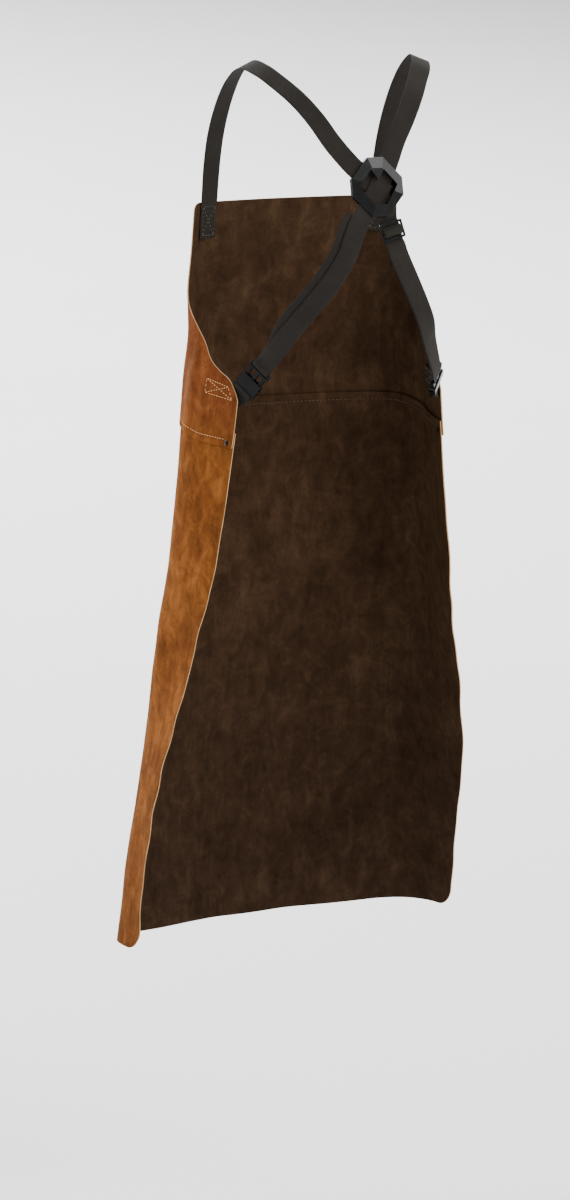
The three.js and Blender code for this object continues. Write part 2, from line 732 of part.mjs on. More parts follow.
function octagon(scale) {
  const { halfWidth, halfHeight, cornerX, cornerY } = PLATE;
  const quarter = [[halfWidth, cornerY], [cornerX, halfHeight]];
  const left = quarter.map(([x, y]) => [-x, y]).reverse();
  const lower = [...quarter, ...left].map(([x, y]) => [-x, -y]);
  return [...quarter, ...left, ...lower].map(([x, y]) => new THREE.Vector2(scale * x, scale * y));
}

// A solid through eight-sided rings of given scale and height
function octagonStack(levels) {
  const points = levels.flatMap(({ scale, z }) => octagon(scale).map((p) => new Vector3(p.x, p.y, z)));
  const top = 8 * (levels.length - 1);
  const ring = [0, 1, 2, 3, 4, 5, 6, 7];
  const faces = [ring.toReversed(), ring.map((k) => top + k)];
  for (let base = 0; base < top; base += 8) {
    for (const k of ring) {
      const next = (k + 1) % 8;
      faces.push([base + k, base + next, base + 8 + next, base + 8 + k]);
    }
  }
  return solid(closedGeometry(points, faces));
}

// Passage of one strap through the plate, in the plate's plane
function slotShape(shoulder) {
  const centres = CROSSING_ROUTE.map((row) => {
    const x = (1 - row.pull) * PLATE_ACROSS - shoulder * row.across;
    return new THREE.Vector2(x, row.rise - PLATE_RISE);
  });
  const edge = (side) => centres.map((centre, k) => {
    const before = centres[Math.max(k - 1, 0)];
    const after = centres[Math.min(k + 1, centres.length - 1)];
    const along = after.clone().sub(before).normalize();
    const across = new THREE.Vector2(-along.y, along.x);
    return centre.clone().addScaledVector(across, (side * SLOT_WIDTH) / 2);
  });
  return new THREE.Shape([...edge(1), ...edge(-1).reverse()]);
}

function addBackPlate() {
  const rear = -SLOT_HALF - PLATE_REAR;
  const wallRise = ((PLATE_CROWN - PLATE_RIM) * (1 - PLATE_HOLLOW_SCALE)) / (1 - PLATE_CROWN_SCALE);
  const shell = octagonStack([
    { scale: 1, z: rear },
    { scale: 1, z: PLATE_RIM },
    { scale: PLATE_CROWN_SCALE, z: PLATE_CROWN },
  ]);
  const hollow = octagonStack([
    { scale: PLATE_HOLLOW_SCALE, z: -SLOT_HALF },
    { scale: PLATE_HOLLOW_SCALE, z: PLATE_RIM + wallRise - PLATE_WALL },
    { scale: PLATE_CROWN_SCALE, z: PLATE_CROWN - PLATE_WALL },
  ]);
  const windowShape = mirroredShape(WINDOW, (row, side) => [side * row.across, row.rise]);
  const slots = [1, -1].map((shoulder) => prism(slotShape(shoulder), -SLOT_HALF, SLOT_HALF));
  const cuts = [hollow, prism(windowShape, 0, 2 * PLATE_CROWN), ...slots];
  const body = cuts.reduce((rest, cut) => rest.subtract(cut), shell);
  const centre = CROSSING.clone().addScaledVector(plateUp, PLATE_RISE);
  centre.x += PLATE_ACROSS;
  const group = placedGroup(centre, new Vector3(-1, 0, 0), plateOut);
  addPiece('back_plate', geometryOf(body), 'plastic', group);
}

function addSlide() {
  const { halfWidth, halfLength, thickness, corner } = SLIDE;
  const { halfWidth: clear, near, far } = SLIDE_WINDOW;
  const shape = roundedRectangle(-halfWidth, halfWidth, -halfLength, halfLength, corner);
  for (const [low, high] of [[near, far], [-far, -near]]) {
    shape.holes.push(roundedRectangle(-clear, clear, low, high, corner / 2));
  }
  const { place, outward, side } = routeFrame(leftRoute, slideArc);
  const group = placedGroup(place, side, outward);
  addPiece('strap_slide', geometryOf(prism(shape, -thickness / 2, thickness / 2)), 'plastic', group);
}

// A bar for the webbing at one end of a buckle half, with the two cheeks that carry it
function barWithCheeks(at, towards) {
  const bar = new THREE.CylinderGeometry(BAR_RADIUS, BAR_RADIUS, CHEEK.inside + CHEEK.outside, 12);
  const ends = [at - towards * CHEEK.end, at + towards * CHEEK.root].sort((a, b) => a - b);
  const cheeks = [[CHEEK.inside, CHEEK.outside], [-CHEEK.outside, -CHEEK.inside]].map(([low, high]) => (
    block([ends[0], low, -CHEEK.half], [ends[1], high, CHEEK.half])
  ));
  return cheeks.reduce((body, cheek) => body.add(cheek), solid(bar.translate(at, 0, 0)));
}

// Plug half of a buckle, with the strap's bar at x = 0
function plugHalf() {
  const shape = mirroredShape(PLUG, (row, side) => [row.along, side * row.aside]);
  return prism(shape, -MALE_HALF, MALE_HALF).add(barWithCheeks(0, 1));
}

// Socket half of a buckle, open at its mouth and where the barbs catch
function socketHalf() {
  const { mouth, end, halfWidth, half, corner } = FEMALE;
  const body = prism(roundedRectangle(mouth, end, -halfWidth, halfWidth, corner), -half, half);
  const inside = half - FEMALE_WALL;
  const aside = halfWidth - FEMALE_WALL;
  const { start, end: stop } = FEMALE_WINDOW;
  const cavity = block([mouth - FEMALE_WALL, -aside, -inside], [end - FEMALE_WALL, aside, inside]);
  const catches = block([start, -2 * halfWidth, -inside], [stop, 2 * halfWidth, inside]);
  return body.subtract(cavity).subtract(catches).add(barWithCheeks(BAR_SPAN, -1));
}

function addBuckle(label, side) {
  const { strap, axis, outward } = buckleFrame(side);
  const group = placedGroup(strap, axis, outward);
  addPiece(`buckle_male_${label}`, geometryOf(plugHalf()), 'plastic', group);
  addPiece(`buckle_female_${label}`, geometryOf(socketHalf()), 'plastic', group);
}

addLeather();
addRivets();
addLeftStrap();
addRightStrap();
addBackPlate();
addSlide();
for (const [label, side] of [['left', 1], ['right', -1]]) {
  addBuckle(label, side);
  addTab(`buckle_tab_${label}`, side);
}

export default apron;
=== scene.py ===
import math

import bpy
import numpy as np
from mathutils import Matrix, Vector, noise
from mathutils.geometry import delaunay_2d_cdt


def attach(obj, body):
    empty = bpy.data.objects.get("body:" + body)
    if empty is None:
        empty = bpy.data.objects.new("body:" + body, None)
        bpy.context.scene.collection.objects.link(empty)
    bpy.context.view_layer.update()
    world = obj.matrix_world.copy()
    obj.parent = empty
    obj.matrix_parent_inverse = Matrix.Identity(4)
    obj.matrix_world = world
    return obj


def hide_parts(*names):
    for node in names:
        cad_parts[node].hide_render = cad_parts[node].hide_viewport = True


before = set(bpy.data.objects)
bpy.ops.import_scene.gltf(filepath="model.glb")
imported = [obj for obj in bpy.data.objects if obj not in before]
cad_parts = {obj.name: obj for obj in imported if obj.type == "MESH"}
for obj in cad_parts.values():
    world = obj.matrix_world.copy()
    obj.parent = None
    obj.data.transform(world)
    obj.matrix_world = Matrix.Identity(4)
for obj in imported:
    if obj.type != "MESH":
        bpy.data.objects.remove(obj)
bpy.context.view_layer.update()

# Lengths are in millimetres until a mesh is made. +Z is up, the front faces -Y, the wearer's left is +X.
MM = 0.001
GAP = 0.3

# Leather
LEATHER = 2.0
HALF_WIDTH = 305
BIB_TOP = -176
BIB_HALF_TOP = 140
BIB_CORNER = 10
LAP_TOP = -426
LAP_BOTTOM = -444.5
HEM = -1090
HEM_CORNER = 25
LAP_OFFSET = -(LEATHER + GAP)
FRONT_TURN = math.radians(8)
WALK_STEPS = 40
NORMAL_STEP = 3.5
EDGE_INSET = 0.4
EDGE_SHARE = 0.6
HIDE_STEP = 4.2
FINE_STEP = 1.4
SLOT_OUTSIDE, SLOT_INSIDE, SLOT_EDGE = 0, 1, 2

# Sections of the worn leather: height, bend start, bend end, turn, front, swing
SECTIONS = np.array([
    (-176, 90, 255, 100, -130, 0),
    (-320, 68, 234, 105, -159.5, 0),
    (-391, 71.5, 241, 104, -167, 0),
    (-460, 81, 240.5, 103, -166.5, 0),
    (-620, 102.5, 247, 101, -167, 0),
    (-700, 119, 245, 97, -174, 1.5),
    (-830, 124, 243, 80.5, -187, 4.5),
    (-915, 131, 254, 76, -192, 6.5),
    (-990, 147, 269, 79, -193, 8),
    (-1090, 168, 283, 88.5, -193, 8.6),
], float)

# Edge of the bib from its rear corner up the wing and the armhole: u, z
ARMHOLE = [
    (305, -387), (299.5, -378), (283.5, -363.5), (262, -355.5), (246, -348.5), (235, -341.5),
    (225, -332.5), (215.5, -323.5), (204, -314.5), (190, -306), (176, -297), (163, -284),
    (152, -263), (145.5, -238), (142, -212), (140, -186),
]

# The flanks hang lower than the front, full at the waist and gone below the hips
DROOP_START, DROOP_RAMP, DROOP_DEPTH, DROOP_SLOPE, DROOP_FULL, DROOP_GONE = 150, 95, 13, 0.04, -480, -760

# Folds of the hanging leather: u, z, half width, half height, depth
FOLDS = [
    (205, -390, 14, 60, 2.6),
    (-205, -390, 14, 60, 2.6),
    (207, -378, 6, 42, 2.2),
    (220, -382, 9, 50, -2.2),
    (150, -960, 34, 170, -5),
    (-140, -930, 36, 190, -5),
    (55, -1000, 38, 210, 6),
    (-50, -960, 40, 240, 6),
]

# Painted highlight along the ridge of the fold near the wing, lightening the nap: u, z, half width, half
# height
FOLD_HIGHLIGHT = (206.5, -380, 4.5, 42)

# Sewn and riveted places where the hide lies flat: u, z, half width, half height
CALM_PLACES = [(267, -379, 60, 40), (117, -200, 45, 60), (294, -439, 40, 30)]

# Stitching: the lap's row, the stitches, and how deep the thread lies
SEAM_END, SEAM_Z = 288, -435.4
STITCH = 5.2
STITCH_SHARE = 0.56
STITCH_LEAN = 0.05
STITCH_DRAW, STITCH_DRAW_REACH = 0.45, 1.7
THREAD = 0.45
THREAD_SIDES = 7
SUNK_IN_HIDE, SUNK_AT_LAP, SUNK_IN_TAPE = 0.3, 0.15, 0.1

# Form of one stitch along its length: share of the length, lift off the face, share of the thread's width
STITCH_SHARES = np.array([0, 0.1, 0.28, 0.5, 0.72, 0.9, 1])
STITCH_LIFTS = np.array([-0.55, 0.0, 0.16, 0.2, 0.16, 0.0, -0.55])
STITCH_WIDTHS = np.array([0.7, 0.92, 1, 1.02, 1, 0.92, 0.7])

# Stitched boxes by their corners on the wearer's left, and the finer grid round them: u, half width, low z,
# high z
WING_BOX = [(240.2, -366.8), (284.3, -371.9), (294.5, -386.8), (240.3, -384.2)]
BIB_BOX = [(107.5, -181.5), (126.5, -181.5), (126.5, -217.5), (107.5, -217.5)]
BOX_PATCHES = [(267, 33, -395, -360), (117, 16, -223, -178)]
SEAM_PATCH_HALF = 4.5

# Webbing
WEB_WIDTH = 25
WEB = 1.3
LAYER = (WEB + GAP) / 2
STRAP_SEWN_U = 117
STRAP_SEWN_LENGTH = 45
STRAP_SAGITTA = 0.95
SEWN_INWARD = LEATHER / 2 + GAP + WEB / 2 + STRAP_SAGITTA
TAIL_SHIFT = 9
TAIL_END_Z = -184
BUCKLE_LEAD = 12.6
WEB_STEP = 0.5
RIB_PITCH = 2.0
RIB_DEPTH = 0.13
SELVEDGE_FLAT, SELVEDGE_ROUND, SELVEDGE_THICK, SELVEDGE_RIBBED = 0.55, 0.12, 0.62, 0.4
TURN_STEPS = 18

# Back plate, slide and buckles
PLATE_TILT = math.radians(13)
CROSSING = np.array((0, 98, -153.0))
PLATE_ACROSS = -11
SLIDE_THICKNESS = 1.8
SLIDE_OVER, SLIDE_UNDER, SLIDE_HOLD, SLIDE_LEVEL, SLIDE_SAGITTA = 2.2, 7.6, 11.5, 19, 0.3
SLIDE_Z = -197.5
STRAP_END_PAST_SLIDE = 13
BAR_SPAN = 36
BAR_RADIUS = 1.6
LOOP_RADIUS = BAR_RADIUS + GAP + WEB / 2
LOOP_REACH = 10
TAB_SEWN = [(238, -377.5), (258, -379.8), (278, -382)]
TAB_BEND_LEAD, TAB_BEND_RADIUS = 4, 17
TAB_SAGITTA = 0.4
TAB_INWARD = LEATHER / 2 + GAP + WEB / 2 + LAYER + TAB_SAGITTA

# How each buckle lies, as for the left side: the way between its bars, the way outwards, where the tab
# starts to bend (u, z), and the tab's turns and shares of its twist
BUCKLES = {
    1: {
        "way": np.array((0.4, -0.51, -0.76)),
        "lean": np.array((0.8, 0.6, 0)),
        "start": (291, -383.4),
        "turns": (49, 33, 16, 0),
        "twists": (0, 0.5, 1, 1),
    },
    -1: {
        "way": np.array((0.38, -0.78, -0.5)),
        "lean": np.array((0.76, 0.6, -0.25)),
        "start": (298, -384.2),
        "turns": (33, 22, 11, 0),
        "twists": (0, 0.1, 0.5, 1),
    },
}

# Rivets
RIVET_U, RIVET_Z = 294, -439
RIVET_POST, RIVET_CAP, RIVET_DOME, RIVET_BACK = 1.5, 3.5, 1.6, 0.9
RIVET_SIDES = 40

# Left shoulder strap: place and outward lean
SHOULDER_ROUTE = [
    (116, -106, -125, 0.2, -0.95, 0.2),
    (116.8, -91, -85, 0.2, -0.87, 0.43),
    (117, -65, -44, 0.25, -0.7, 0.66),
    (116.5, -36, -15, 0.32, -0.4, 0.86),
    (115, -6, 0, 0.38, 0, 0.92),
    (106, 20, -6, 0.33, 0.33, 0.88),
    (92.5, 39.4, -20, 0.25, 0.55, 0.8),
    (75.6, 60.7, -40, 0.15, 0.75, 0.65),
    (58, 75.5, -65, 0.08, 0.9, 0.43),
]

# The same strap through the plate: across, rise, pull
CROSSING_ROUTE = [
    (42, 64.5, 0),
    (25.8, 39, 0.38),
    (0, 4, 1),
    (-16, -25.7, 0.5),
    (-24, -43.1, 0.16),
]

# The same strap down to the right buckle: place and outward lean
RIGHT_SIDE_ROUTE = [
    (-34.5, 109, -225, -0.12, 0.99, -0.02),
    (-48.5, 107.4, -254, -0.15, 0.98, -0.02),
    (-64.2, 101.9, -283, -0.18, 0.98, 0),
    (-77.8, 96.6, -311, -0.25, 0.96, 0),
    (-86.9, 86.4, -334, -0.42, 0.9, 0),
]

# The right shoulder's strap down to the left buckle, as its mirror image
LEFT_SIDE_ROUTE = [
    (-34.5, 109, -225, -0.12, 0.99, -0.02),
    (-51, 102, -255, -0.15, 0.98, -0.02),
    (-70.5, 88.5, -285, -0.18, 0.98, 0),
    (-89.5, 71.5, -315, -0.25, 0.96, 0),
    (-101.5, 55, -339, -0.42, 0.9, 0),
]

# Photograph: 570 by 1200 pixels, seen from behind on the wearer's left
VIEW_AZIMUTH = math.radians(155)
VIEW_ELEVATION = math.radians(8.5)
VIEW_DISTANCE = 7.0
VIEW_TARGET = Vector((0, 0, -0.55))
VIEW_FOCUS = 5705
VIEW_AXIS = (49, 89.4)
VIEW_LENS = 171.15
FLOOR_Z = -1.47


def unit(vectors):
    vectors = np.asarray(vectors, float)
    return vectors / np.linalg.norm(vectors, axis=-1, keepdims=True)


def smooth(share):
    t = np.clip(share, 0, 1)
    return t * t * (3 - 2 * t)


# Leather surface


def sections_at(z):
    heights = SECTIONS[:, 0]
    last = len(heights) - 1
    rows = np.arange(last + 1)
    before = SECTIONS[np.maximum(rows - 1, 0)]
    after = SECTIONS[np.minimum(rows + 1, last)]
    slopes = (after - before) / (after[:, :1] - before[:, :1])
    i = np.clip(np.searchsorted(-heights, -z), 1, last) - 1
    span = (heights[i + 1] - heights[i])[:, None]
    t = (z - heights[i])[:, None] / span
    bulge = t * (1 - t) * span * ((1 - t) * slopes[i] - t * slopes[i + 1])
    return SECTIONS[i] * (1 - smooth(t)) + SECTIONS[i + 1] * smooth(t) + bulge


def relief_at(u, z):
    """The hide's own soft unevenness, stronger along the free edges of the skirt."""
    rise = np.array([
        noise.noise(Vector((a / 70, b / 120, 3.1))) + 0.45 * noise.noise(Vector((a / 26, b / 40, 8.7)))
        for a, b in zip(u, z)
    ])
    ripple = np.array([noise.noise(Vector((b / 48, (a > 0) * 9.0, 5.3))) for a, b in zip(u, z)])
    free = smooth((np.abs(u) - 235) / 70) * smooth((-z - 520) / 160)
    calm = np.ones_like(u)
    for at, height, half_width, half_height in CALM_PLACES:
        calm *= 1 - np.exp(-((np.abs(u) - at) / half_width) ** 2 - ((z - height) / half_height) ** 2)
    return rise * calm * (1.3 + 1.6 * free) + 3.0 * ripple * free


def folds_at(u, z):
    return sum(d * np.exp(-((u - a) / w) ** 2 - ((z - b) / h) ** 2) for a, b, w, h, d in FOLDS)


def droop_at(reach, z):
    past = np.maximum(reach - DROOP_START, 0)
    share = smooth((z - DROOP_GONE) / (DROOP_FULL - DROOP_GONE))
    return share * (DROOP_DEPTH * smooth(past / DROOP_RAMP) + DROOP_SLOPE * past)


def leather_at(u, z, offset=0.0):
    """Places on the bib's middle surface and outward directions, by u along the hide from the front
    centre and z as cut."""
    u, z, offset = (np.ravel(a) for a in np.broadcast_arrays(u, z, offset))
    u, z = u.astype(float), z.astype(float)
    reach = np.abs(u)
    side = np.where(u < 0, -1, 1)
    height = z - droop_at(reach, z)
    _, start, end, turn, front, swing = sections_at(height).T
    turn, swing = np.radians(turn), np.radians(swing)

    def turn_at(length):
        bend = smooth((length - start) / (end - start))
        return FRONT_TURN * np.minimum(length / start, 1) + (turn - FRONT_TURN) * bend

    step = reach / WALK_STEPS
    x = np.zeros_like(u)
    y = front.copy()
    for k in range(WALK_STEPS):
        angle = turn_at((k + 0.5) * step)
        x += side * np.cos(angle) * step
        y += np.sin(angle) * step
    angle = turn_at(reach)
    nx, ny = side * np.sin(angle), -np.cos(angle)
    lift = folds_at(u, z) + relief_at(u, z) + offset
    x, y = x + nx * lift, y + ny * lift
    c, s = np.cos(swing), np.sin(swing)
    places = np.stack([c * x - s * y, s * x + c * y, height], 1)
    return places, np.stack([c * nx - s * ny, s * nx + c * ny, np.zeros_like(z)], 1)


def inside_at(u, z, inward):
    """A place inside the leather, square to it, and the direction outwards."""
    places, _ = leather_at([u, u + NORMAL_STEP, u], [z, z, z + NORMAL_STEP])
    lean = unit(np.cross(places[1] - places[0], places[2] - places[0]))
    return places[0] - lean * inward, lean


def box_lines(box, side):
    """Lines of a box-and-cross stitch: round the box, and over its diagonals."""
    a, b, c, d = [(side * u, z) for u, z in box]
    return [[a, b], [b, c], [c, d], [d, a], [a, c], [b, d]]


SEAM_LINE = [(-SEAM_END, SEAM_Z), (SEAM_END, SEAM_Z)]
WING_LINES = {side: box_lines(WING_BOX, side) for side in (1, -1)}
BIB_LINES = {side: box_lines(BIB_BOX, side) for side in (1, -1)}


def line_distance(u, z, lines):
    nearest = np.full(len(u), 1e9)
    p = np.stack([u, z], 1)
    for a, b in lines:
        a, b = np.array(a, float), np.array(b, float)
        t = np.clip((p - a) @ (b - a) / ((b - a) @ (b - a)), 0, 1)
        nearest = np.minimum(nearest, np.linalg.norm(p - a - t[:, None] * (b - a), axis=1))
    return nearest


# Mesh pieces


def make_piece(name, points, faces, materials, slots=None):
    """A smooth mesh piece from points in millimetres, riding on the part's one body."""
    mesh = bpy.data.meshes.new(name)
    mesh.from_pydata((np.asarray(points) * MM).tolist(), [], [list(map(int, f)) for f in faces])
    for material in materials:
        mesh.materials.append(material)
    if slots is not None:
        mesh.polygons.foreach_set("material_index", np.asarray(slots, np.int32))
    mesh.polygons.foreach_set("use_smooth", np.ones(len(mesh.polygons), bool))
    mesh.update()
    piece = bpy.data.objects.new(name, mesh)
    bpy.context.scene.collection.objects.link(piece)
    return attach(piece, "root")


def store(piece, name, vectors):
    attribute = piece.data.attributes.new(name, "FLOAT_VECTOR", "POINT")
    attribute.data.foreach_set("vector", np.asarray(vectors, np.float32).ravel())


def inside(outline, points):
    x, y = points.T
    crossed = np.zeros(len(points), bool)
    for (x0, y0), (x1, y1) in zip(outline, np.roll(outline, -1, 0)):
        if y0 != y1:
            crossed ^= ((y0 > y) != (y1 > y)) & (x < (x1 - x0) * (y - y0) / (y1 - y0) + x0)
    return crossed


def hex_grid(low, high, step):
    rows = np.arange(low[1], high[1], step * math.sqrt(0.75))
    columns = np.arange(low[0], high[0], step)
    return np.array([(u + (k % 2) * step / 2, z) for k, z in enumerate(rows) for u in columns])


def resample(outline, step):
    outline = np.asarray(outline, float)
    closed = np.vstack([outline, outline[:1]])
    points = []
    for a, b in zip(closed, closed[1:]):
        count = max(1, round(np.linalg.norm(b - a) / step))
        points.extend(a + (b - a) * k / count for k in range(count))
    return np.array(points)


def hide_mesh(outline, patches):
    """Triangles of a flat cut: an even grid, finer in the patches, and the ordered ring of its edge."""
    edge = resample(outline, HIDE_STEP * 0.8)
    low, high = edge.min(0), edge.max(0)
    grid = hex_grid(low, high, HIDE_STEP)
    grids = []
    for u0, u1, z0, z1 in patches:
        grid = grid[~((grid[:, 0] > u0) & (grid[:, 0] < u1) & (grid[:, 1] > z0) & (grid[:, 1] < z1))]
        grids.append(hex_grid((u0, z0), (u1, z1), FINE_STEP))
    grid = np.vstack([grid, *grids])
    grid = grid[inside(edge, grid)]
    sides = list(zip(edge, np.roll(edge, -1, 0)))
    grid = grid[line_distance(grid[:, 0], grid[:, 1], sides) > 0.45 * HIDE_STEP]
    points = [Vector(p) for p in np.vstack([edge, grid]).tolist()]
    vertices, _, faces, _, _, _ = delaunay_2d_cdt(points, [], [list(range(len(edge)))], 1, 1e-4)
    flat = np.array([tuple(v) for v in vertices])
    faces = np.array([f for f in faces if len(f) == 3])
    a, b, c = (flat[faces[:, k]] for k in range(3))
    turned = (b - a)[:, 0] * (c - a)[:, 1] - (b - a)[:, 1] * (c - a)[:, 0] < 0
    faces[turned] = faces[turned][:, ::-1]
    halves = np.vstack([faces[:, [0, 1]], faces[:, [1, 2]], faces[:, [2, 0]]])
    known = {tuple(h) for h in halves.tolist()}
    following = {i: j for i, j in known if (j, i) not in known}
    ring = [min(following)]
    while following[ring[-1]] != ring[0]:
        ring.append(following[ring[-1]])
    return flat, faces, np.array(ring)


def leather_piece(name, outline, patches, offset, lines, materials):
    """A panel of the hide with rounded cut edges, drawn in along its stitched lines on both faces."""
    flat, faces, ring = hide_mesh(outline, patches)
    rim = flat[ring]
    along = np.roll(rim, -1, 0) - np.roll(rim, 1, 0)
    outwards = unit(np.stack([along[:, 1], -along[:, 0]], 1))
    inset = flat.copy()
    inset[ring] -= EDGE_INSET * outwards
    apart = line_distance(inset[:, 0], inset[:, 1], lines)
    drawn = STITCH_DRAW * np.exp(-(apart / STITCH_DRAW_REACH) ** 2)
    half = LEATHER / 2
    outer, _ = leather_at(inset[:, 0], inset[:, 1], offset + half - drawn)
    inner, _ = leather_at(inset[:, 0], inset[:, 1], offset - half + 0.5 * drawn)
    first, _ = leather_at(rim[:, 0], rim[:, 1], offset + EDGE_SHARE * half)
    second, _ = leather_at(rim[:, 0], rim[:, 1], offset - EDGE_SHARE * half)
    count, size = len(flat), len(ring)
    base = 2 * count + np.arange(size)
    bands = [(ring, base), (base, base + size), (base + size, ring + count)]
    quads = []
    for upper, lower in bands:
        for k in range(size):
            n = (k + 1) % size
            quads.append((upper[n], upper[k], lower[k], lower[n]))
    heights = rim[:, 1]
    # Cut edges along the lap take the dark inside suede: a painted shadow line under the bib's lower edge,
    # and painted shade on the skirt's top edge
    lapped = np.isin(heights, (LAP_TOP, LAP_BOTTOM)) & (heights == np.roll(heights, -1))
    slots = [SLOT_OUTSIDE] * len(faces) + [SLOT_INSIDE] * len(faces) + [SLOT_OUTSIDE] * size
    slots += np.where(lapped, SLOT_INSIDE, SLOT_EDGE).tolist() + [SLOT_INSIDE] * size
    polygons = [*faces.tolist(), *(faces[:, ::-1] + count).tolist(), *quads]
    piece = make_piece(name, np.vstack([outer, inner, first, second]), polygons, materials, slots)
    # Painted highlight: a lighter band on the outer face along the fold's ridge, kept in a point attribute
    at, height, half_width, half_height = FOLD_HIGHLIGHT
    aside = (flat[:, 0] - at) / half_width
    rise = (flat[:, 1] - height) / half_height
    fold_highlight = np.zeros(len(piece.data.vertices))
    fold_highlight[:count] = np.exp(-aside ** 2 - rise ** 2)
    store(piece, "fold_highlight", np.repeat(fold_highlight[:, None], 3, 1))
    rims = set()
    for layer in (ring, ring + count):
        rims |= {frozenset(pair) for pair in zip(layer.tolist(), np.roll(layer, -1).tolist())}
    for side in piece.data.edges:
        side.use_edge_sharp = frozenset(side.vertices) in rims
    a, b, c = (flat[faces[:, k]] for k in range(3))
    cross = (b - a)[:, 0] * (c - a)[:, 1] - (b - a)[:, 1] * (c - a)[:, 0]
    return piece, float(cross.sum()) / 2 * MM * MM


def arc(centre, radius_u, radius_z, start, end, count):
    angles = np.radians(np.linspace(start, end, count))
    return [(centre[0] + radius_u * math.cos(a), centre[1] + radius_z * math.sin(a)) for a in angles]


def mirrored(half):
    """A closed outline from its right half, which runs upwards."""
    return [*half, *[(-u, z) for u, z in reversed(half)]]


def bib_outline():
    armhole = [tuple(p) for p in spline(ARMHOLE, np.linspace(0, 1, 91), True)]
    corner = arc((BIB_HALF_TOP - BIB_CORNER, BIB_TOP - BIB_CORNER), BIB_CORNER, BIB_CORNER, 0, 90, 7)
    return mirrored([(HALF_WIDTH, LAP_BOTTOM), *armhole, *corner[1:]])


def skirt_outline():
    corner = arc((HALF_WIDTH - HEM_CORNER, HEM + HEM_CORNER), HEM_CORNER, HEM_CORNER, -90, 0, 12)
    return mirrored([*corner, (HALF_WIDTH, LAP_TOP)])


# Stitches


def stitch_piece(name, runs, materials):
    """Thread lying in short stitches along lines of the hide, each run (lines, offset, way it stands
    out), with one thread outside and one inside."""
    shares, widths, sides = STITCH_SHARES, STITCH_WIDTHS * THREAD, THREAD_SIDES
    points, faces, twist, slots = [], [], [], []
    for lines, offset, way in runs:
        for a, b in lines:
            a, b = np.array(a, float), np.array(b, float)
            length = np.linalg.norm(b - a)
            count = max(1, round(length / STITCH))
            for k in range(count):
                middle = a + (b - a) * (k + 0.5) / count
                reach = (b - a) / count * STITCH_SHARE
                lean = np.array((-reach[1], reach[0])) * STITCH_LEAN
                flat = middle + (shares[:, None] - 0.5) * (reach + lean)
                places, out = leather_at(flat[:, 0], flat[:, 1], offset + way * STITCH_LIFTS)
                out = out * way
                travel = unit(np.gradient(places, axis=0))
                across = unit(np.cross(travel, out))
                up = np.cross(across, travel)
                base = len(points)
                for place, aside, rise, width, share in zip(places, across, up, widths, shares):
                    for j in range(sides):
                        angle = 2 * math.pi * j / sides
                        points.append(place + width * (math.cos(angle) * aside + math.sin(angle) * rise))
                        twist.append((share * length / count, angle, 0))
                last = base + (len(places) - 1) * sides
                faces.append([base + j for j in reversed(range(sides))])
                faces.append([last + j for j in range(sides)])
                for ring in range(len(places) - 1):
                    low = base + ring * sides
                    for j in range(sides):
                        n = (j + 1) % sides
                        faces.append([low + j, low + n, low + sides + n, low + sides + j])
        slots += [int(way < 0)] * (len(faces) - len(slots))
    piece = make_piece(name, points, faces, materials, slots)
    store(piece, "twist", twist)
    return piece


# Webbing


def spline(points, t, centripetal):
    """Points of a curve through the given ones, by its parameter from 0 to 1."""
    points = np.asarray(points, float)
    last = len(points) - 1
    padded = np.vstack([2 * points[0] - points[1], points, 2 * points[-1] - points[-2]])
    place = np.clip(np.asarray(t, float), 0, 1) * last
    i = np.minimum(place.astype(int), last - 1)
    w = (place - i)[:, None]
    p0, p1, p2, p3 = (padded[i + k] for k in range(4))
    if centripetal:
        pairs = ((p0, p1), (p1, p2), (p2, p3))
        d0, d1, d2 = (np.sqrt(np.linalg.norm(b - a, axis=1))[:, None] for a, b in pairs)
        t1 = ((p1 - p0) / d0 - (p2 - p0) / (d0 + d1) + (p2 - p1) / d1) * d1
        t2 = ((p2 - p1) / d1 - (p3 - p1) / (d1 + d2) + (p3 - p2) / d2) * d1
    else:
        t1, t2 = (p2 - p0) / 2, (p3 - p1) / 2
    bend = (2 * p1 - 2 * p2 + t1 + t2) * w + (3 * p2 - 3 * p1 - 2 * t1 - t2)
    return (bend * w + t1) * w + p1


class Route:
    """A smooth route through places with outward leans, walked by its length."""

    def __init__(self, places, leans):
        self.places, self.leans = places, leans
        self.t = np.linspace(0, 1, 12001)
        walk = np.linalg.norm(np.diff(spline(places, self.t, True), axis=0), axis=1)
        self.walked = np.concatenate([[0], np.cumsum(walk)])
        self.length = self.walked[-1]

    def at(self, arc_lengths):
        t = np.interp(arc_lengths, self.walked, self.t)
        ahead, behind = np.minimum(t + 1e-4, 1), np.maximum(t - 1e-4, 0)
        place = spline(self.places, t, True)
        travel = unit(spline(self.places, ahead, True) - spline(self.places, behind, True))
        outward = spline(self.leans, t, False)
        outward = unit(outward - (outward * travel).sum(1)[:, None] * travel)
        return place, travel, outward, np.cross(outward, travel)

    def arc_at_height(self, z):
        arcs = np.arange(self.length, 0, -0.5)
        below = self.at(arcs)[0][:, 2] < z
        return arcs[np.argmin(below)]


def layer_spread(route, arcs):
    return LAYER + (LOOP_RADIUS - LAYER) * (1 - smooth((route.length - arcs) / LOOP_REACH))


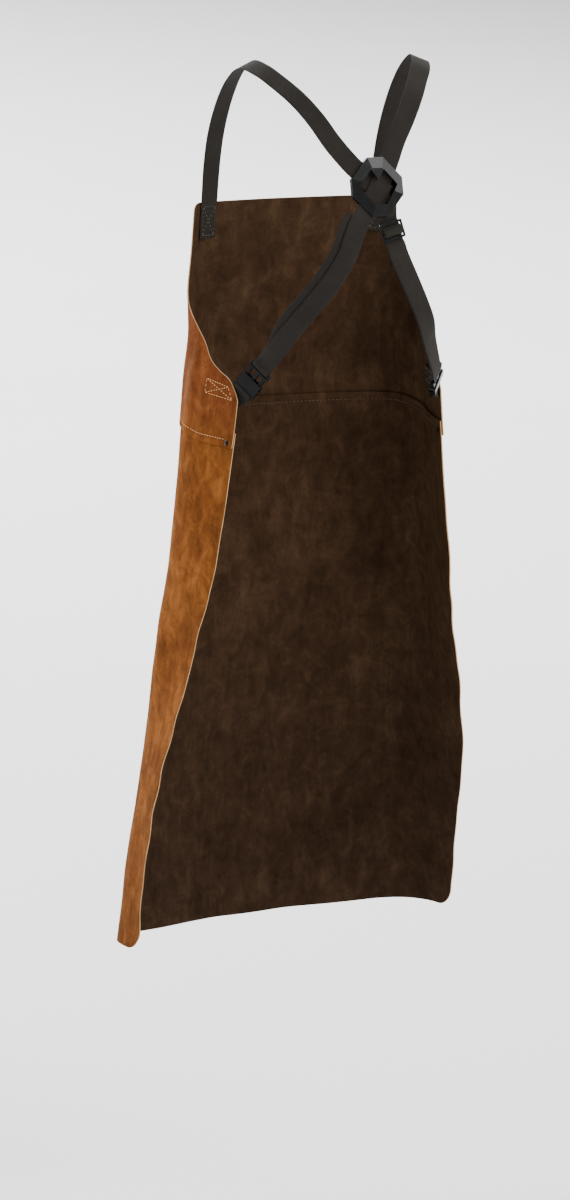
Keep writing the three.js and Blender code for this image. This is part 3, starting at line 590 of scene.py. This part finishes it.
def looped_tape(route, lead, back_to, offset_at):
    """Stations of tape that leads to the bar at the route's end, turns round it and comes back."""
    arcs = np.append(np.arange(0, route.length - WEB_STEP / 2, WEB_STEP), route.length)

    def layer(at, way):
        place, _, outward, side = route.at(at)
        rise, shift = offset_at(at, way)
        return place + outward * rise[:, None] + side * shift[:, None], side, outward * way

    place, travel, outward, side = route.at(np.array([route.length]))
    angles = np.pi * np.arange(1, TURN_STEPS)[:, None] / TURN_STEPS
    turned = outward * lead * np.cos(angles) + travel * np.sin(angles)
    turn = (place + turned * LOOP_RADIUS, np.repeat(side, len(angles), 0), turned)
    parts = [layer(arcs, lead), turn, layer(arcs[arcs >= back_to][::-1], -lead)]
    return [np.vstack(values) for values in zip(*parts)]


def web_section():
    """Corners of the tape's section: across, through, and which face ribs lie on."""
    half = WEB_WIDTH / 2
    flats = np.linspace(-1, 1, 9) * (half - SELVEDGE_FLAT)
    selvedge = [
        (half - SELVEDGE_ROUND, SELVEDGE_THICK, SELVEDGE_RIBBED),
        (half, 0, 0),
        (half - SELVEDGE_ROUND, -SELVEDGE_THICK, -SELVEDGE_RIBBED),
    ]
    face = [(across, 1, 1) for across in flats]
    rows = [*face, *selvedge]
    rows += [(-across, -through, -ribbed) for across, through, ribbed in rows]
    return np.array(rows)


def web_piece(name, stations, material):
    """Ribbed tape through stations of centre, side direction and face direction."""
    place, side, face = stations
    walked = np.concatenate([[0], np.cumsum(np.linalg.norm(np.diff(place, axis=0), axis=1))])
    section = web_section()
    size, count = len(section), len(place)
    rib = 0.5 + 0.5 * np.cos(2 * np.pi * walked / RIB_PITCH)
    points, weave = [], []
    for across, through, ribbed in section:
        low = RIB_DEPTH * abs(ribbed) * (rib if ribbed >= 0 else 1 - rib)
        height = through * (WEB / 2 - low)
        points.append(place + side * across + face * height[:, None])
        weave.append(np.stack([walked, np.full(count, across), np.full(count, through)], 1))
    points = np.stack(points, 1).reshape(-1, 3)
    weave = np.stack(weave, 1).reshape(-1, 3)
    faces = [list(range(size)), [(count - 1) * size + k for k in reversed(range(size))]]
    for row in range(count - 1):
        low = row * size
        for k in range(size):
            n = (k + 1) % size
            faces.append([low + n, low + k, low + size + k, low + size + n])
    corners = points[np.array([f[:3] for f in faces[2:]])]
    if np.einsum("ij,ij->i", corners[:, 0], np.cross(corners[:, 1], corners[:, 2])).sum() < 0:
        faces = [f[::-1] for f in faces]
    piece = make_piece(name, points, faces, [material])
    store(piece, "weave", weave)
    return piece


def buckle_frame(side):
    lie = BUCKLES[side]
    axis = unit(lie["way"])
    outward = unit(lie["lean"] - axis * (axis @ lie["lean"]))
    across = np.cross(outward, axis)

    def bend(bar, angle):
        forward = TAB_BEND_LEAD + TAB_BEND_RADIUS * math.sin(angle)
        return bar + axis * forward - across * TAB_BEND_RADIUS * (1 - math.cos(angle))

    angles = [math.radians(a) for a in lie["turns"]]
    tab = inside_at(*lie["start"], TAB_INWARD)[0] - bend(np.zeros(3), angles[0])
    mirror = np.array((side, 1, 1))
    bends = [bend(tab, a) * mirror for a in angles]
    return (tab - axis * BAR_SPAN) * mirror, tab * mirror, axis * mirror, outward * mirror, bends


def strap_route(shoulder):
    plate_up = np.array((0, -math.sin(PLATE_TILT), math.cos(PLATE_TILT)))
    plate_out = np.array((0, math.cos(PLATE_TILT), math.sin(PLATE_TILT)))
    heights = [BIB_TOP - STRAP_SEWN_LENGTH * share for share in (1, 0.5, 0)]
    sewn = [inside_at(STRAP_SEWN_U, z, SEWN_INWARD) for z in heights]
    places, leans = [row[0] for row in sewn], [row[1] for row in sewn]
    for row in SHOULDER_ROUTE:
        places.append(np.array(row[:3], float))
        leans.append(np.array(row[3:], float))
    for across, rise, pull in CROSSING_ROUTE:
        place = CROSSING + plate_up * rise
        place[0] += across + shoulder * pull * PLATE_ACROSS
        places.append(place)
        leans.append(plate_out)
    for row in RIGHT_SIDE_ROUTE if shoulder > 0 else LEFT_SIDE_ROUTE:
        places.append(np.array(row[:3], float))
        leans.append(np.array(row[3:], float))
    mirror = np.array((shoulder, 1, 1))
    bar, _, axis, outward, _ = buckle_frame(-shoulder)
    places = [*[place * mirror for place in places], bar - axis * BUCKLE_LEAD, bar]
    leans = [*[lean * mirror for lean in leans], outward, outward]
    return Route(np.array(places), np.array(leans))


def back_share(arcs):
    return smooth((arcs - 1.5 * STRAP_SEWN_LENGTH) / (3 * STRAP_SEWN_LENGTH))


def left_strap(material):
    route = strap_route(1)
    slide = route.arc_at_height(SLIDE_Z)
    swing = SLIDE_THICKNESS / 2 + GAP + WEB / 2 + LAYER + SLIDE_SAGITTA

    def offset_at(arcs, lead):
        reach = np.abs(arcs - slide)
        over = 1 - 2 * smooth((reach - SLIDE_OVER) / (SLIDE_UNDER - SLIDE_OVER))
        wave = swing * over * (1 - smooth((reach - SLIDE_HOLD) / (SLIDE_LEVEL - SLIDE_HOLD)))
        return lead * layer_spread(route, arcs) * back_share(arcs) + wave, np.zeros_like(arcs)

    stations = looped_tape(route, -1, slide - STRAP_END_PAST_SLIDE, offset_at)
    return web_piece("strap_left_webbing", stations, material)


def right_strap(material):
    route = strap_route(-1)

    def offset_at(arcs, lead):
        aside = smooth((route.length - arcs - 2 * LOOP_REACH) / (6 * LOOP_REACH))
        shift = -TAIL_SHIFT * aside if lead < 0 else np.zeros_like(arcs)
        return lead * layer_spread(route, arcs) * back_share(arcs), shift

    stations = looped_tape(route, 1, route.arc_at_height(TAIL_END_Z), offset_at)
    return web_piece("strap_right_webbing", stations, material)


def tab(name, side, material):
    _, bar, _, outward, bends = buckle_frame(side)
    sewn = [inside_at(side * u, z, TAB_INWARD) for u, z in TAB_SEWN]
    flat = sewn[-1][1]
    places = [*[row[0] for row in sewn], *bends, bar]
    twisted = [flat + (outward - flat) * share for share in BUCKLES[side]["twists"]]
    leans = [*[row[1] for row in sewn], *twisted, outward]
    route = Route(np.array(places), np.array(leans))

    def offset_at(arcs, lead):
        return lead * layer_spread(route, arcs), np.zeros_like(arcs)

    return web_piece(name, looped_tape(route, 1, 0, offset_at), material)


# Rivets


def rivet_piece(name, side, material):
    place, axis = inside_at(side * RIVET_U, RIVET_Z, 0)
    outer, inner = LEATHER / 2 + GAP, -(1.5 * LEATHER + 2 * GAP)
    profile = [
        (0, inner - RIVET_BACK),
        (0.86 * RIVET_CAP, inner - RIVET_BACK),
        (0.97 * RIVET_CAP, inner - 0.75 * RIVET_BACK),
        (RIVET_CAP, inner - 0.4 * RIVET_BACK),
        (0.97 * RIVET_CAP, inner),
        (RIVET_POST, inner),
        (RIVET_POST, outer),
        (0.97 * RIVET_CAP, outer),
        (RIVET_CAP, outer + 0.18 * RIVET_DOME),
        (0.96 * RIVET_CAP, outer + 0.36 * RIVET_DOME),
        (0.8 * RIVET_CAP, outer + 0.66 * RIVET_DOME),
        (0.6 * RIVET_CAP, outer + 0.86 * RIVET_DOME),
        (0.35 * RIVET_CAP, outer + 0.97 * RIVET_DOME),
        (0, outer + RIVET_DOME),
    ]
    across = unit(np.cross(axis, (0, 0, 1)))
    third = np.cross(axis, across)
    points = []
    for radius, height in profile:
        for k in range(RIVET_SIDES):
            angle = 2 * math.pi * k / RIVET_SIDES
            aside = math.cos(angle) * across + math.sin(angle) * third
            points.append(place + axis * height + radius * aside)
    faces = []
    for row in range(len(profile) - 1):
        low = row * RIVET_SIDES
        for k in range(RIVET_SIDES):
            n = (k + 1) % RIVET_SIDES
            face = [low + k, low + n, low + RIVET_SIDES + n, low + RIVET_SIDES + k]
            if row == 0:
                face = [low, low + RIVET_SIDES + n, low + RIVET_SIDES + k]
            elif row == len(profile) - 2:
                face = [low + k, low + n, low + RIVET_SIDES]
            faces.append(face)
    used = sorted({v for f in faces for v in f})
    order = {v: k for k, v in enumerate(used)}
    return make_piece(name, [points[v] for v in used], [[order[v] for v in f] for f in faces], [material])


# Materials


class Nodes:
    """A material whose shader takes fixed values from a table, with nodes added one by one."""

    def __init__(self, name, values):
        self.material = bpy.data.materials.new(name)
        self.material.use_nodes = True
        self.tree = self.material.node_tree
        self.shader = self.tree.nodes["Principled BSDF"]
        for socket, value in values.items():
            self.shader.inputs[socket].default_value = value

    def add(self, kind, inputs=(), output=0, **settings):
        node = self.tree.nodes.new(kind)
        for key, value in settings.items():
            setattr(node, key, value)
        for socket, value in dict(inputs).items():
            if isinstance(value, bpy.types.NodeSocket):
                self.tree.links.new(value, node.inputs[socket])
            else:
                node.inputs[socket].default_value = value
        return node.outputs[output]

    def math(self, operation, *values):
        return self.add("ShaderNodeMath", enumerate(values), operation=operation)

    def noise(self, vector, scale, detail=4.0, rough=0.6, distortion=0.0):
        values = {"Vector": vector, "Scale": scale, "Detail": detail, "Roughness": rough}
        values["Distortion"] = distortion
        return self.add("ShaderNodeTexNoise", values)

    def stretch(self, vector, scale):
        return self.add("ShaderNodeMapping", {"Vector": vector, "Scale": scale})

    def ramp(self, value, stops):
        output = self.add("ShaderNodeValToRGB", {"Fac": value})
        elements = output.node.color_ramp.elements
        while len(elements) < len(stops):
            elements.new(1.0)
        for element, (position, colour) in zip(elements, stops):
            element.position = position
            element.color = (*colour, 1)
        return output

    def mix(self, blend, share, first, second):
        node = self.tree.nodes.new("ShaderNodeMix")
        node.data_type = "RGBA"
        node.blend_type = blend
        for index, value in ((0, share), (6, first), (7, second)):
            if isinstance(value, bpy.types.NodeSocket):
                self.tree.links.new(value, node.inputs[index])
            else:
                node.inputs[index].default_value = value
        return node.outputs[2]

    def bump(self, height, strength, distance, normal=None):
        values = {"Height": height, "Strength": strength, "Distance": distance}
        if normal is not None:
            values["Normal"] = normal
        return self.add("ShaderNodeBump", values)

    def drive(self, socket, source):
        self.tree.links.new(source, self.shader.inputs[socket])

    def place(self):
        return self.add("ShaderNodeTexCoord", output="Object")


def suede(name, dark, middle, light, sheen, heights):
    """Split leather: mottled by the hide, streaked by wear, darkened by height as painted shade, lightened
    on one fold's ridge as a painted highlight, with a short nap.
    """
    n = Nodes(name, {
        "Roughness": 1.0,
        "Specular IOR Level": 0.04,
        "Sheen Weight": sheen,
        "Sheen Roughness": 0.5,
        "Sheen Tint": (0.9, 0.5, 0.22, 1),
    })
    at = n.place()
    broad = n.noise(at, 7.5, 3, 0.55, 0.5)
    blotch = n.noise(at, 38, 6, 0.68, 0.9)
    streak = n.noise(n.stretch(at, (70, 70, 24)), 1.0, 5, 0.62, 0.6)
    nap = n.noise(n.stretch(at, (1, 1, 0.4)), 760, 5, 0.72)
    fleck = n.noise(at, 150, 4, 0.7)
    tone = n.math("ADD", n.math("MULTIPLY", broad, 0.3), n.math("MULTIPLY", blotch, 0.4))
    tone = n.math("ADD", tone, n.math("MULTIPLY", streak, 0.3))
    colour = n.ramp(tone, [(0.36, dark), (0.5, middle), (0.64, light)])
    grain = n.ramp(n.math("ADD", n.math("MULTIPLY", nap, 0.6), n.math("MULTIPLY", fleck, 0.4)),
                   [(0.34, (0.62, 0.6, 0.58)), (0.5, (1, 1, 1)), (0.68, (1.0, 1.0, 1.0))])
    # Painted shade by height: the colour is multiplied by a ramp of the height in the object
    rise = n.add("ShaderNodeSeparateXYZ", {0: at}, 2)
    level = n.add("ShaderNodeMapRange", {"Value": rise, "From Min": -1.1, "From Max": -0.2})
    colour = n.mix("MULTIPLY", 1.0, colour, n.ramp(level, heights))
    # Painted highlight: colour added along the fold's ridge, by the point attribute stored on the hide
    fold_highlight = n.add("ShaderNodeAttribute", output="Fac", attribute_name="fold_highlight")
    colour = n.mix("ADD", n.math("MULTIPLY", fold_highlight, blotch), colour, (0.2, 0.12, 0.065, 1))
    n.drive("Base Color", n.mix("MULTIPLY", 0.75, colour, grain))
    coarse = n.bump(fleck, 0.22, 0.0012)
    n.drive("Normal", n.bump(nap, 0.4, 0.0006, coarse))
    return n.material


def cut_edge():
    """Raw cut edge of the leather, pale and fibrous."""
    n = Nodes("cut_edge", {"Roughness": 0.9, "Specular IOR Level": 0.2, "Sheen Weight": 0.15})
    at = n.place()
    fibre = n.noise(at, 900, 4, 0.7)
    patch = n.noise(at, 60, 4, 0.6)
    tone = n.math("ADD", n.math("MULTIPLY", fibre, 0.55), n.math("MULTIPLY", patch, 0.45))
    n.drive("Base Color", n.ramp(tone, [(0.3, (0.27, 0.135, 0.05)), (0.52, (0.52, 0.3, 0.14)),
                                        (0.72, (0.68, 0.44, 0.23))]))
    n.drive("Normal", n.bump(fibre, 0.35, 0.0005))
    return n.material


def webbing():
    """Woven tape: yarns side by side along its length, bound across in staggered ribs, with painted shade
    in the weave's hollows.
    """
    n = Nodes("webbing", {
        "Roughness": 0.8,
        "Specular IOR Level": 0.16,
        "Sheen Weight": 0.02,
        "Sheen Roughness": 0.4,
    })
    weave = n.add("ShaderNodeAttribute", output="Vector", attribute_name="weave")
    split = n.add("ShaderNodeSeparateXYZ", {0: weave}).node
    along, across = split.outputs[0], split.outputs[1]
    column = n.math("DIVIDE", across, 1.04)
    stagger = n.math("MULTIPLY", n.math("MODULO", n.math("FLOOR", n.math("ADD", column, 40.0)), 2.0), 0.5)
    row = n.math("ADD", n.math("DIVIDE", along, RIB_PITCH), stagger)
    over = n.math("ABSOLUTE", n.math("SINE", n.math("MULTIPLY", row, math.pi)))
    yarn = n.math("ABSOLUTE", n.math("SINE", n.math("MULTIPLY", column, math.pi)))
    height = n.math("MULTIPLY", n.math("POWER", over, 0.6), n.math("POWER", yarn, 0.5))
    at = n.place()
    fuzz = n.noise(at, 1400, 3, 0.7)
    worn = n.noise(at, 26, 4, 0.6)
    # Painted shade: the hollows of the weave are coloured darker than its raised yarns
    tone = n.math("ADD", n.math("MULTIPLY", height, 0.5), n.math("MULTIPLY", fuzz, 0.28))
    tone = n.math("ADD", tone, n.math("MULTIPLY", worn, 0.22))
    n.drive("Base Color", n.ramp(tone, [(0.2, (0.003, 0.0026, 0.0022)), (0.52, (0.0125, 0.0105, 0.0085)),
                                        (0.82, (0.042, 0.035, 0.028))]))
    n.drive("Normal", n.bump(n.math("ADD", height, n.math("MULTIPLY", fuzz, 0.25)), 0.55, 0.0003))
    return n.material


def thread(name, dark, middle, light):
    """Waxed sewing thread, two plies twisted, with painted shade in the grooves between the plies."""
    n = Nodes(name, {"Roughness": 0.7, "Specular IOR Level": 0.35, "Sheen Weight": 0.2})
    twist = n.add("ShaderNodeAttribute", output="Vector", attribute_name="twist")
    split = n.add("ShaderNodeSeparateXYZ", {0: twist}).node
    along, around = split.outputs[0], split.outputs[1]
    turn = n.math("ADD", n.math("MULTIPLY", along, 5.2), n.math("MULTIPLY", around, 2.0))
    ply = n.math("ABSOLUTE", n.math("SINE", turn))
    stain = n.noise(n.place(), 120, 3, 0.6)
    # Painted shade: the grooves between the plies are coloured darker
    tone = n.math("ADD", n.math("MULTIPLY", ply, 0.5), n.math("MULTIPLY", stain, 0.5))
    n.drive("Base Color", n.ramp(tone, [(0.25, dark), (0.6, middle), (0.9, light)]))
    n.drive("Normal", n.bump(ply, 0.5, 0.0002))
    return n.material


def moulding(name, shine, coat, low, high, grain):
    """Black injection-moulded plastic with a little flow variation and handling marks."""
    n = Nodes(name, {"Specular IOR Level": shine, "Coat Weight": coat, "Coat Roughness": 0.06})
    at = n.place()
    flow = n.noise(at, 90, 4, 0.6)
    speck = n.noise(at, 1900, 3, 0.6)
    n.drive("Base Color", n.ramp(flow, [(0.3, (0.003, 0.003, 0.003)), (0.7, (0.007, 0.0068, 0.0065))]))
    span = {"Value": flow, "From Min": 0.3, "From Max": 0.7, "To Min": low, "To Max": high}
    n.drive("Roughness", n.add("ShaderNodeMapRange", span))
    n.drive("Normal", n.bump(speck, grain, 0.0001))
    return n.material


def rivet_metal():
    """Dark oxidised steel, worn brighter in places."""
    n = Nodes("rivet_metal", {"Metallic": 0.6, "Specular IOR Level": 0.3})
    at = n.place()
    rub = n.noise(at, 700, 4, 0.65)
    n.drive("Base Color", n.ramp(rub, [(0.35, (0.004, 0.0035, 0.003)), (0.6, (0.012, 0.01, 0.0085)),
                                       (0.78, (0.05, 0.045, 0.04))]))
    span = {"Value": rub, "From Min": 0.3, "From Max": 0.7, "To Min": 0.2, "To Max": 0.4}
    n.drive("Roughness", n.add("ShaderNodeMapRange", span))
    n.drive("Normal", n.bump(rub, 0.25, 0.0002))
    return n.material


def studio_floor():
    n = Nodes("studio_floor", {"Roughness": 0.85, "Specular IOR Level": 0.2})
    soft = n.noise(n.place(), 0.8, 3, 0.5)
    n.drive("Base Color", n.ramp(soft, [(0.3, (0.9, 0.9, 0.9)), (0.7, (0.92, 0.92, 0.92))]))
    return n.material


# Build

# The last list of the outer suede is painted shade: darker towards the hem, and darker and redder from the
# wings up
outside = suede(
    "suede_outside", (0.085, 0.024, 0.0048), (0.17, 0.054, 0.0105), (0.3, 0.108, 0.024), 0.03,
    [(0.0, (0.72, 0.74, 0.9)), (0.3, (0.92, 0.94, 1)), (0.7, (0.96, 0.96, 0.96)), (0.78, (0.8, 0.7, 0.95))],
)
# The inside is a darker copy of the suede, painted shade for the shadow the inside lies in, and darker
# still towards the hem
painted_shade_inside = suede(
    "suede_inside_painted_shade", (0.022, 0.0115, 0.006), (0.042, 0.022, 0.0115), (0.072, 0.04, 0.021), 0.03,
    [(0.0, (0.6, 0.62, 0.66)), (0.35, (0.85, 0.87, 0.9)), (0.6, (1, 1, 1))],
)
edge_leather = cut_edge()
tape = webbing()
threads = [
    thread("thread_outside", (0.46, 0.2, 0.06), (0.76, 0.4, 0.145), (0.88, 0.53, 0.23)),
    # The inside thread is dark like the inside suede, painted shade
    thread("thread_inside_painted_shade", (0.03, 0.017, 0.009), (0.075, 0.042, 0.022), (0.13, 0.078, 0.042)),
]
gloss = moulding("gloss_moulding", 0.14, 0.4, 0.2, 0.28, 0.03)
satin = moulding("satin_moulding", 0.2, 0.04, 0.26, 0.36, 0.06)
metal = rivet_metal()

hide = [outside, painted_shade_inside, edge_leather]
box_patches = [
    (side * u - half, side * u + half, low, high) for u, half, low, high in BOX_PATCHES for side in (1, -1)
]
seam_patch = (-HALF_WIDTH, HALF_WIDTH, SEAM_Z - SEAM_PATCH_HALF, SEAM_Z + SEAM_PATCH_HALF)
box_rows = [line for rows in (WING_LINES, BIB_LINES) for side in (1, -1) for line in rows[side]]
bib, bib_area = leather_piece(
    "bib_leather", bib_outline(), [*box_patches, seam_patch], 0.0, [SEAM_LINE, *box_rows], hide
)
skirt, skirt_area = leather_piece(
    "skirt_leather", skirt_outline(), [seam_patch], LAP_OFFSET, [SEAM_LINE], hide
)
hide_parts("bib_panel")
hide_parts("skirt_panel")

straps = {"strap_left": left_strap(tape), "strap_right": right_strap(tape)}
for label, side in (("left", 1), ("right", -1)):
    straps[f"buckle_tab_{label}"] = tab(f"buckle_tab_{label}_webbing", side, tape)
for node, piece in straps.items():
    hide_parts(node)

face = LEATHER / 2
tab_inside = -(TAB_INWARD + LAYER + WEB / 2)
strap_inside = -(SEWN_INWARD + WEB / 2)
seam_thread = stitch_piece("lap_seam_stitches", [
    ([SEAM_LINE], face - SUNK_IN_HIDE, 1),
    ([SEAM_LINE], LAP_OFFSET - face + SUNK_AT_LAP, -1),
], threads)
for label, side in (("left", 1), ("right", -1)):
    lines = WING_LINES[side]
    runs = [(lines, face - SUNK_IN_HIDE, 1), (lines, tab_inside + SUNK_IN_TAPE, -1)]
    stitch_piece(f"wing_stitches_{label}", runs, threads)
    lines = BIB_LINES[side]
    runs = [(lines, face - SUNK_IN_HIDE, 1), (lines, strap_inside + SUNK_IN_TAPE, -1)]
    stitch_piece(f"strap_stitches_{label}", runs, threads)

for label, side in (("left", 1), ("right", -1)):
    rivet = rivet_piece(f"seam_rivet_{label}_cap", side, metal)
    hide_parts(f"seam_rivet_{label}")

for name, material, width in (
    ("back_plate", gloss, 0.0009),
    ("strap_slide", satin, 0.0004),
    ("buckle_male_left", satin, 0.0004),
    ("buckle_male_right", satin, 0.0004),
    ("buckle_female_left", satin, 0.0006),
    ("buckle_female_right", satin, 0.0006),
):
    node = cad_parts[name]
    node.data.materials.clear()
    node.data.materials.append(material)
    weld = node.modifiers.new("weld", "WELD")
    weld.merge_threshold = 1e-5
    flats = node.modifiers.new("flats", "DECIMATE")
    flats.decimate_type = "DISSOLVE"
    flats.angle_limit = math.radians(1)
    bevel = node.modifiers.new("bevel", "BEVEL")
    bevel.width = width
    bevel.segments = 3
    bevel.limit_method = "ANGLE"
    bevel.angle_limit = math.radians(12)
    bevel.harden_normals = True

# Studio

scene = bpy.context.scene
floor_mesh = bpy.data.meshes.new("studio_floor")
reach = 120
floor_mesh.from_pydata([(-reach, -reach, FLOOR_Z), (reach, -reach, FLOOR_Z), (reach, reach, FLOOR_Z),
                        (-reach, reach, FLOOR_Z)], [], [(0, 1, 2, 3)])
floor_mesh.materials.append(studio_floor())
floor = bpy.data.objects.new("studio_floor", floor_mesh)
scene.collection.objects.link(floor)

world = bpy.data.worlds.new("studio_world")
scene.world = world
world.use_nodes = True
world.node_tree.nodes["Background"].inputs["Color"].default_value = (1, 1, 1, 1)
world.node_tree.nodes["Background"].inputs["Strength"].default_value = 0.5


def softbox(name, azimuth, elevation, distance, size, power):
    """A square soft light that faces the apron, placed by its direction from it."""
    a, e = math.radians(azimuth), math.radians(elevation)
    back = Vector((math.sin(a) * math.cos(e), -math.cos(a) * math.cos(e), math.sin(e)))
    light = bpy.data.lights.new(name, "AREA")
    light.shape = "SQUARE"
    light.size = size
    light.energy = power
    lamp = bpy.data.objects.new(name, light)
    lamp.location = VIEW_TARGET + back * distance
    lamp.rotation_mode = "QUATERNION"
    lamp.rotation_quaternion = back.to_track_quat("Z", "Y")
    scene.collection.objects.link(lamp)


softbox("key_light", 212, 46, 3.4, 2.4, 100)
softbox("edge_light", 242, 24, 3.6, 1.7, 30)
softbox("side_light", 62, 26, 3.6, 1.8, 60)

ceiling = bpy.data.lights.new("ceiling_light", "AREA")
ceiling.shape = "RECTANGLE"
ceiling.size, ceiling.size_y = 14, 34
ceiling.energy = 8500
panel = bpy.data.objects.new("ceiling_light", ceiling)
panel.location = (0, -19, 5.5)
scene.collection.objects.link(panel)

right = Vector((math.cos(VIEW_AZIMUTH), math.sin(VIEW_AZIMUTH), 0))
back = Vector((
    math.sin(VIEW_AZIMUTH) * math.cos(VIEW_ELEVATION),
    -math.cos(VIEW_AZIMUTH) * math.cos(VIEW_ELEVATION),
    math.sin(VIEW_ELEVATION),
))
up = back.cross(right)
camera_data = bpy.data.cameras.new("camera")
camera_data.lens = VIEW_LENS
camera = bpy.data.objects.new("camera", camera_data)
camera.location = VIEW_TARGET + back * VIEW_DISTANCE
aim = (back * VIEW_FOCUS + right * VIEW_AXIS[0] + up * VIEW_AXIS[1]).normalized()
level = Vector((0, 0, 1)).cross(aim).normalized()
camera.rotation_mode = "QUATERNION"
camera.rotation_quaternion = Matrix((level, aim.cross(level), aim)).transposed().to_quaternion()
scene.collection.objects.link(camera)
scene.camera = camera
